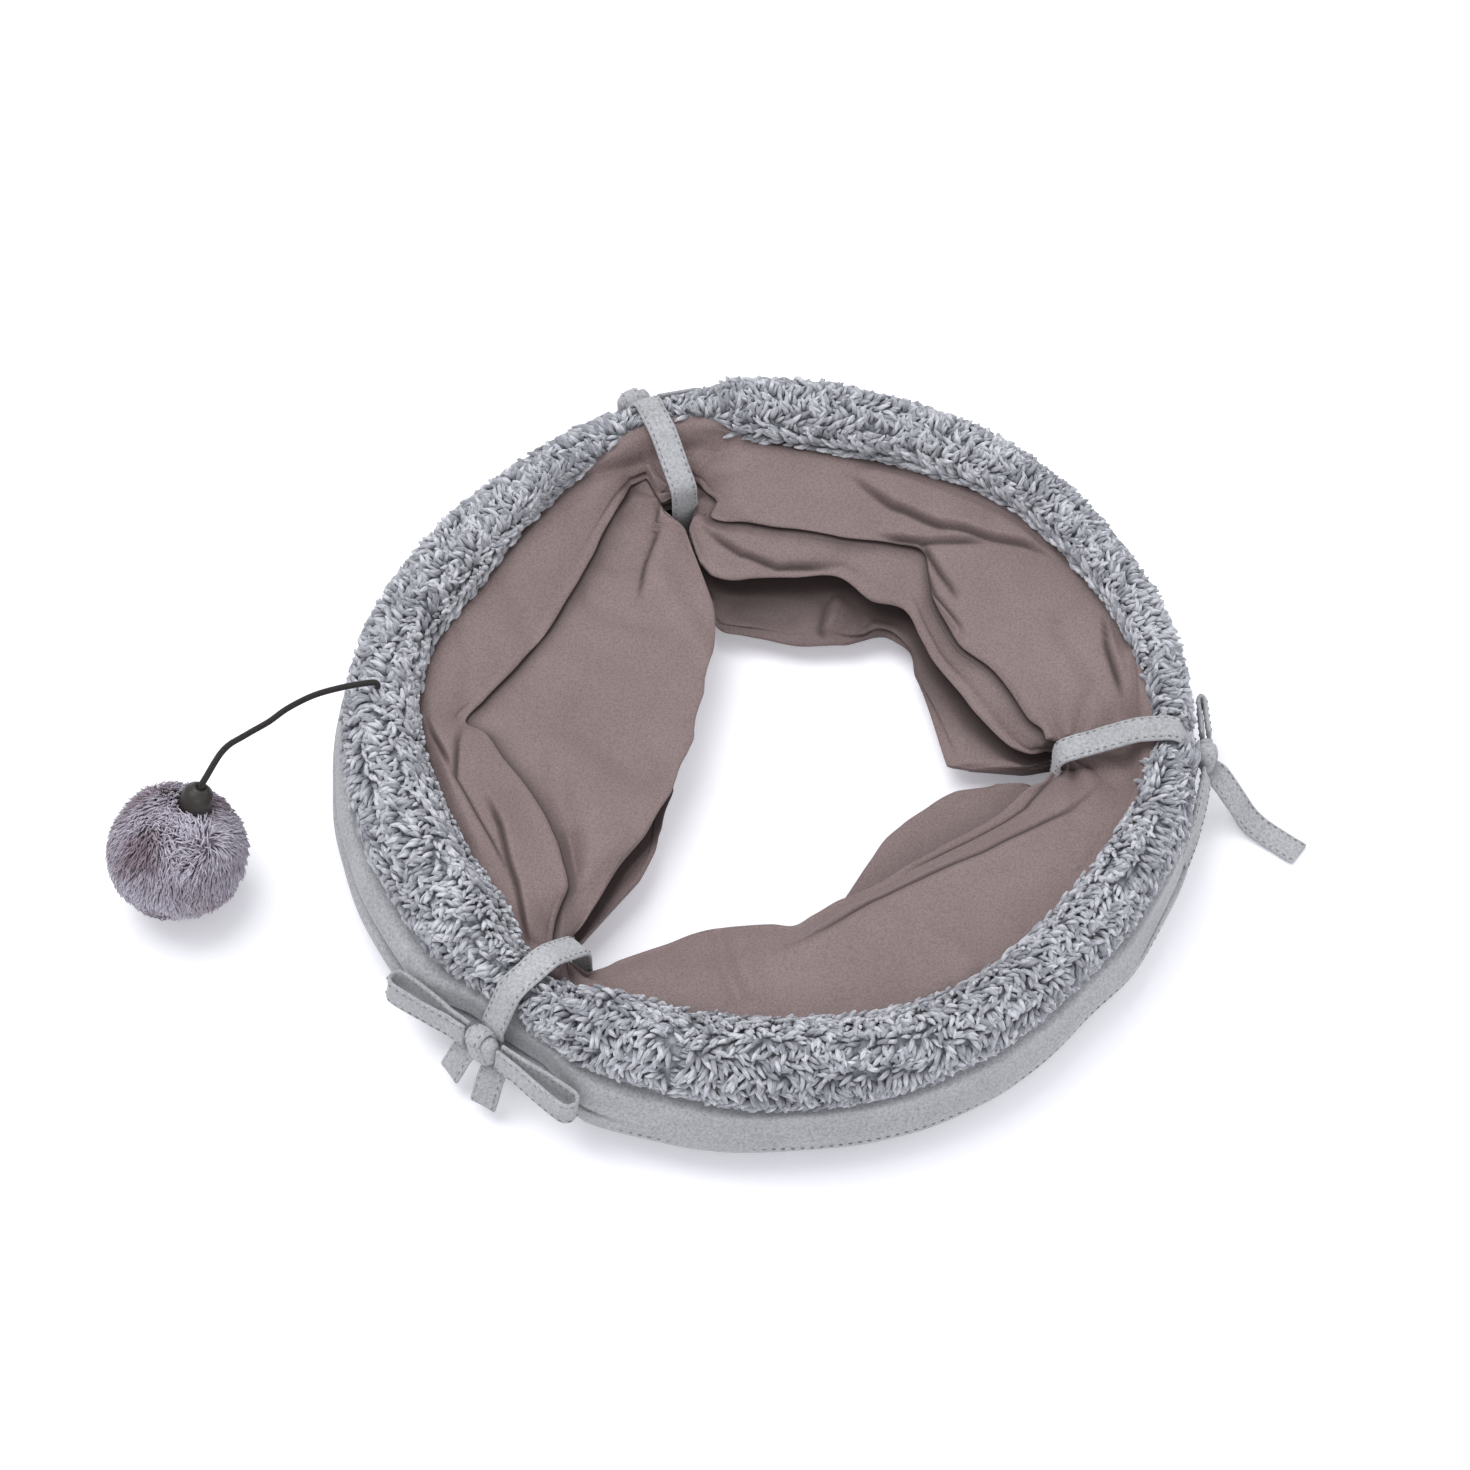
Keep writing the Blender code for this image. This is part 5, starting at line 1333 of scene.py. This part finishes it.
long_tail_shares = ((0.0, 0.0), (0.14, 0.04), (0.31, 0.45), (0.5, 0.88), (0.72, 1.0), (1.0, 1.0))
short_tail_shares = ((0.0, 0.0), (0.3, 0.04), (0.6, 0.35), (0.82, 0.72), (1.0, 1.0))
strap_tails = (
    ("right_tie_tail_long", 0, long_tail_shares, 0.039, -42.0, 0.0, 1.0),
    ("back_tie_tail_left", 1, short_tail_shares, 0.012, 12.0, -0.0056, 1.0),
    ("back_tie_tail_right", 1, short_tail_shares, 0.012, -12.0, 0.0056, 1.0),
    ("front_tie_tail_left", 2, short_tail_shares, 0.010, -12.0, 0.0056, 0.62),
    ("front_tie_tail_right", 2, short_tail_shares, 0.010, 12.0, -0.0056, 0.7),
)
for name, number, shares, reach, turn, aside, fall in strap_tails:
    centre = knot_place(number)
    top = -knot_height / 2 - fit_gap - strap_thickness / 2
    bottom = 0.0004 + strap_thickness / 2 - centre.z
    line = through([Vector((x * reach, top + (bottom - top) * y * fall, 0.0)) for x, y in shares], 4)
    axes = tie_axes(number, 0.0, 0.0, turn)
    axes.translation = centre
    along = axes.to_3x3() @ Vector((0.0, 0.0, 1.0))
    piece = strap(
        name.replace("_tie_", "_strap_"), [axes @ point + along * aside for point in line], along,
    )
    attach(piece, name)
    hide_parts(name)


# Wire coil
# One spring of bare drawn steel wire in four turns. Its two middle turns run in woven sleeves on
# the lining, and each of its ends is pressed into a small steel crimp beside the next turn.

drawn_steel, tree, shader = material("drawn_steel", 0.32, specular=0.5)
shader.inputs["Metallic"].default_value = 1.0
where = add_node(tree, "ShaderNodeTexCoord")
scratches = add_node(tree, "ShaderNodeTexNoise", Vector=where.outputs["Object"], Scale=900.0, Detail=3.0)
tint = add_node(tree, "ShaderNodeValToRGB", i0=scratches.outputs["Fac"])
tint.color_ramp.elements[0].color = linear("#9A9A9C")
tint.color_ramp.elements[1].color = linear("#C9C9CB")
tree.links.new(tint.outputs["Color"], shader.inputs["Base Color"])
relief = add_node(tree, "ShaderNodeBump", Strength=0.2, Distance=0.00005, Height=scratches.outputs["Fac"])
tree.links.new(relief.outputs["Normal"], shader.inputs["Normal"])
for name in ("coil_crimp_lower", "coil_crimp_upper"):
    for material_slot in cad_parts[name].material_slots:
        material_slot.material = drawn_steel
coil_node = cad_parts["coil_spring"]
coil_mesh = coil_node.data.copy()
coil_mesh.transform(coil_node.matrix_world)
coil_mesh.materials.clear()
coil_mesh.materials.append(drawn_steel)
wire_coil = bpy.data.objects.new("wire_coil", coil_mesh)
scene.collection.objects.link(wire_coil)
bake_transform(wire_coil)
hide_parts("coil_spring")

woven_tape, tree, shader = material("woven_tape", 0.85, sheen=0.2)
where = add_node(tree, "ShaderNodeTexCoord")
weave = add_node(tree, "ShaderNodeTexVoronoi", Vector=where.outputs["Object"], Scale=1400.0)
tint = add_node(tree, "ShaderNodeValToRGB", i0=weave.outputs["Distance"])
tint.color_ramp.elements[0].color = linear("#8A8482")
tint.color_ramp.elements[1].color = linear("#6B6664")
tree.links.new(tint.outputs["Color"], shader.inputs["Base Color"])
relief = add_node(tree, "ShaderNodeBump", Strength=0.5, Distance=0.0001, Height=weave.outputs["Distance"])
tree.links.new(relief.outputs["Normal"], shader.inputs["Normal"])

sleeve_radius = 0.00225
sleeve_gap_start, sleeve_gap_end = 258.0, 288.0
for name, turn_height in (("wire_sleeve_lower", 0.0145), ("wire_sleeve_upper", 0.025)):
    mesh, number, angle = ring_grid(name.replace("wire", "woven"), 12, 240, True)
    around_wire = number * 2 * math.pi / 12
    woven_sleeve = shaped(mesh, ring_place(
        coil_radius + sleeve_radius * np.cos(around_wire), turn_height + sleeve_radius * np.sin(around_wire), angle,
    ))
    body = bmesh.new()
    body.from_mesh(mesh)
    open_faces = []
    for face in body.faces:
        middle = face.calc_center_median()
        turn = math.degrees(math.atan2(middle.y - ring_y, middle.x - ring_x)) % 360.0
        if sleeve_gap_start < turn < sleeve_gap_end:
            open_faces.append(face)
    bmesh.ops.delete(body, geom=open_faces, context="FACES")
    body.to_mesh(mesh)
    body.free()
    mesh.materials.append(woven_tape)
    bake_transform(woven_sleeve)
    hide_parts(name)


# Toy ball
# A ball of mauve-grey plush sewn round a core of polyester filling. Its pile is about 5 mm long
# and lies in matted swirls, and the cord's moulded bead is sewn in at its top.

ball_centre = Vector((-0.1902 + ring_x, -0.0433 + ring_y, 0.0235))
ball_radius = 0.0228
plush_root_radius = 0.0196
ball_floor = 0.0006
plush_pitch = 0.0007

plush, tree, shader = material("mauve_plush", 0.9, sheen=0.5, sheen_roughness=0.5, specular=0.15)
where = add_node(tree, "ShaderNodeTexCoord")
pile = add_node(tree, "ShaderNodeAttribute", {"attribute_name": "pile"})
strand = add_node(tree, "ShaderNodeAttribute", {"attribute_name": "strand"})
parts = add_node(tree, "ShaderNodeSeparateXYZ", Vector=pile.outputs["Vector"])
patches = add_node(tree, "ShaderNodeTexNoise", Vector=where.outputs["Object"], Scale=60.0, Detail=2.0)
patch_tint = add_node(tree, "ShaderNodeValToRGB", i0=patches.outputs["Fac"])
patch_tint.color_ramp.elements[0].color = linear("#9C8D98")
patch_tint.color_ramp.elements[0].position = 0.36
patch_tint.color_ramp.elements[1].color = linear("#CCC8D4")
patch_tint.color_ramp.elements[1].position = 0.56
# Painted shade at the roots: each strand of pile darkens from its tip down to its root
painted_root_shade = add_node(tree, "ShaderNodeValToRGB", i0=parts.outputs["X"])
painted_root_shade.color_ramp.elements[0].color = linear("#B0A6AE")
painted_root_shade.color_ramp.elements[1].color = linear("#FFFFFF")
painted_root_shade.color_ramp.elements[1].position = 0.75
toned = add_node(tree, "ShaderNodeValToRGB", i0=parts.outputs["Y"])
toned.color_ramp.elements[0].color = linear("#C4BCC3")
toned.color_ramp.elements[1].color = linear("#FFFFFF")
mixed = add_node(
    tree, "ShaderNodeMix", {"data_type": "RGBA", "blend_type": "MULTIPLY"}, i0=1.0,
    i6=patch_tint.outputs["Color"], i7=painted_root_shade.outputs["Color"],
)
furry = add_node(
    tree, "ShaderNodeMix", {"data_type": "RGBA", "blend_type": "MULTIPLY"}, i0=1.0,
    i6=mixed.outputs[2], i7=toned.outputs["Color"],
)
tree.links.new(furry.outputs[2], shader.inputs["Base Color"])

body = bmesh.new()
bmesh.ops.create_icosphere(body, subdivisions=5, radius=plush_root_radius, matrix=Matrix.Translation(ball_centre))
for vert in body.verts:
    way = (vert.co - ball_centre).normalized()
    vert.co += way * plush_root_radius * 0.05 * noise.noise(way * 1.7 + Vector((4.0, 0.0, 0.0)))
    vert.co.z = max(vert.co.z, ball_floor)
mesh = bpy.data.meshes.new("ball_skin")
body.to_mesh(mesh)
body.free()
mesh.shade_smooth()
mesh.materials.append(plush)
ball_skin = bpy.data.objects.new("ball_skin", mesh)
scene.collection.objects.link(ball_skin)
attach(ball_skin, "toy_ball")
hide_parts("ball_cover")

plush_shapes = [curl_shape(seed, 0.0046, 0.00029, lean, curl, sides=4, cuts=2) for seed, lean, curl in (
    (21, 0.75, 0.5), (22, 0.9, 0.45), (23, 0.6, 0.75), (24, 1.0, 0.3), (25, 0.45, 0.9),
)]
picker = np.random.default_rng(29)
plush_count = int(4 * math.pi * plush_root_radius ** 2 / plush_pitch ** 2)
turns = np.arange(plush_count)
heights = 1.0 - 2.0 * (turns + 0.5) / plush_count
flat_radius = np.sqrt(1.0 - heights ** 2)
golden = math.pi * (3.0 - math.sqrt(5.0))
normals = np.stack([flat_radius * np.cos(golden * turns), flat_radius * np.sin(golden * turns), heights], axis=1)
normals += picker.normal(0.0, 0.012, normals.shape)
normals /= np.linalg.norm(normals, axis=1)[:, None]
lumps = np.array([noise.noise(Vector(normal) * 1.7 + Vector((4.0, 0.0, 0.0))) for normal in normals])
roots = np.array(tuple(ball_centre)) + normals * (plush_root_radius * (1.0 + 0.05 * lumps))[:, None]
drift = np.array([noise.noise_vector(Vector(root) * 75.0) for root in roots])
toward = 1.1 * drift - np.array(tuple(bead_way)) * 0.55 + (0.05, -0.2, -0.2)
toward += 0.16 * picker.normal(size=toward.shape)
toward -= normals * np.sum(toward * normals, axis=1)[:, None]
toward /= np.linalg.norm(toward, axis=1)[:, None]
frames = np.stack([toward, np.cross(normals, toward), normals], axis=1)
sizes = picker.uniform(0.7, 1.1, plush_count)
tones = np.clip(0.5 + 0.25 * picker.normal(size=plush_count) + 0.4 * drift[:, 1], 0.0, 1.0)
picks = picker.integers(0, len(plush_shapes), plush_count)
bead_free = normals @ np.array(tuple(bead_way)) < math.cos(math.radians(13.0))
for half_name, half_mask in (("upper", normals[:, 2] >= 0.0), ("lower", normals[:, 2] < 0.0)):
    here = half_mask & bead_free
    ball_pile = laid_pile(
        "ball_pile_" + half_name, plush_shapes, picks[here], roots[here], frames[here], sizes[here], tones[here],
    )
    for vert in ball_pile.data.vertices:
        vert.co.z = max(vert.co.z, ball_floor)
    ball_pile.data.materials.append(plush)
    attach(ball_pile, "toy_ball")

white_filling, tree, shader = material("white_filling", 1.0, sheen=0.2)
where = add_node(tree, "ShaderNodeTexCoord")
# Painted shade: the darker spots of this noise stand for soft shadows between the filling's clumps, and the same noise
# gives the bump
fluff = add_node(tree, "ShaderNodeTexNoise", Vector=where.outputs["Object"], Scale=700.0, Detail=5.0)
tint = add_node(tree, "ShaderNodeValToRGB", i0=fluff.outputs["Fac"])
tint.color_ramp.elements[0].color = linear("#D9D9D8")
tint.color_ramp.elements[1].color = linear("#F4F4F2")
tree.links.new(tint.outputs["Color"], shader.inputs["Base Color"])
relief = add_node(tree, "ShaderNodeBump", Strength=0.8, Distance=0.0005, Height=fluff.outputs["Fac"])
tree.links.new(relief.outputs["Normal"], shader.inputs["Normal"])
body = bmesh.new()
bmesh.ops.create_icosphere(body, subdivisions=4, radius=0.0132, matrix=Matrix.Translation(ball_centre))
for vert in body.verts:
    way = (vert.co - ball_centre).normalized()
    vert.co += way * 0.0006 * (noise.noise(vert.co * 300.0) - 0.6)
mesh = bpy.data.meshes.new("ball_stuffing")
body.to_mesh(mesh)
body.free()
mesh.shade_smooth()
mesh.materials.append(white_filling)
ball_stuffing = bpy.data.objects.new("ball_stuffing", mesh)
scene.collection.objects.link(ball_stuffing)
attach(ball_stuffing, "toy_ball")
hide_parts("ball_filling")

moulded_bead, tree, shader = material("moulded_bead", 0.45, specular=0.45)
where = add_node(tree, "ShaderNodeTexCoord")
wear = add_node(tree, "ShaderNodeTexNoise", Vector=where.outputs["Object"], Scale=260.0, Detail=4.0)
tint = add_node(tree, "ShaderNodeValToRGB", i0=wear.outputs["Fac"])
tint.color_ramp.elements[0].color = linear("#221E1D")
tint.color_ramp.elements[1].color = linear("#3A3432")
tree.links.new(tint.outputs["Color"], shader.inputs["Base Color"])
relief = add_node(tree, "ShaderNodeBump", Strength=0.3, Distance=0.0001, Height=wear.outputs["Fac"])
tree.links.new(relief.outputs["Normal"], shader.inputs["Normal"])
bead_radius = 0.0053
bead_profile = (
    (0.0, 0.43), (0.27, 0.43), (0.27, 0.96), (0.34, 1.0), (0.5, 0.98), (0.6, 0.9), (0.66, 0.84), (0.82, 0.76),
    (0.93, 0.5), (0.985, 0.25), (1.0, -0.05), (0.97, -0.3), (0.9, -0.52), (0.8, -0.7), (0.66, -0.86),
    (0.52, -0.95), (0.4, -1.0), (0.0, -1.0),
)
body = bmesh.new()
profile = [body.verts.new((bead_radius * width, 0.0, bead_half * rise)) for width, rise in bead_profile]
edges = [body.edges.new(pair) for pair in zip(profile, profile[1:])]
bmesh.ops.spin(
    body, geom=profile + edges, cent=(0.0, 0.0, 0.0), axis=(0.0, 0.0, 1.0), angle=2 * math.pi, steps=40, use_merge=True,
)
bmesh.ops.remove_doubles(body, verts=body.verts[:], dist=0.000001)
bmesh.ops.recalc_face_normals(body, faces=body.faces)
side = Vector((0.0, 0.0, 1.0)).cross(bead_way).normalized()
axes = Matrix((side, bead_way.cross(side), bead_way)).transposed().to_4x4()
body.transform(Matrix.Translation(bead_place) @ axes)
mesh = bpy.data.meshes.new("cord_bead_moulded")
body.to_mesh(mesh)
body.free()
mesh.shade_smooth()
mesh.materials.append(moulded_bead)
bead_piece = bpy.data.objects.new("cord_bead_moulded", mesh)
scene.collection.objects.link(bead_piece)
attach(bead_piece, "toy_ball")
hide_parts("cord_bead")
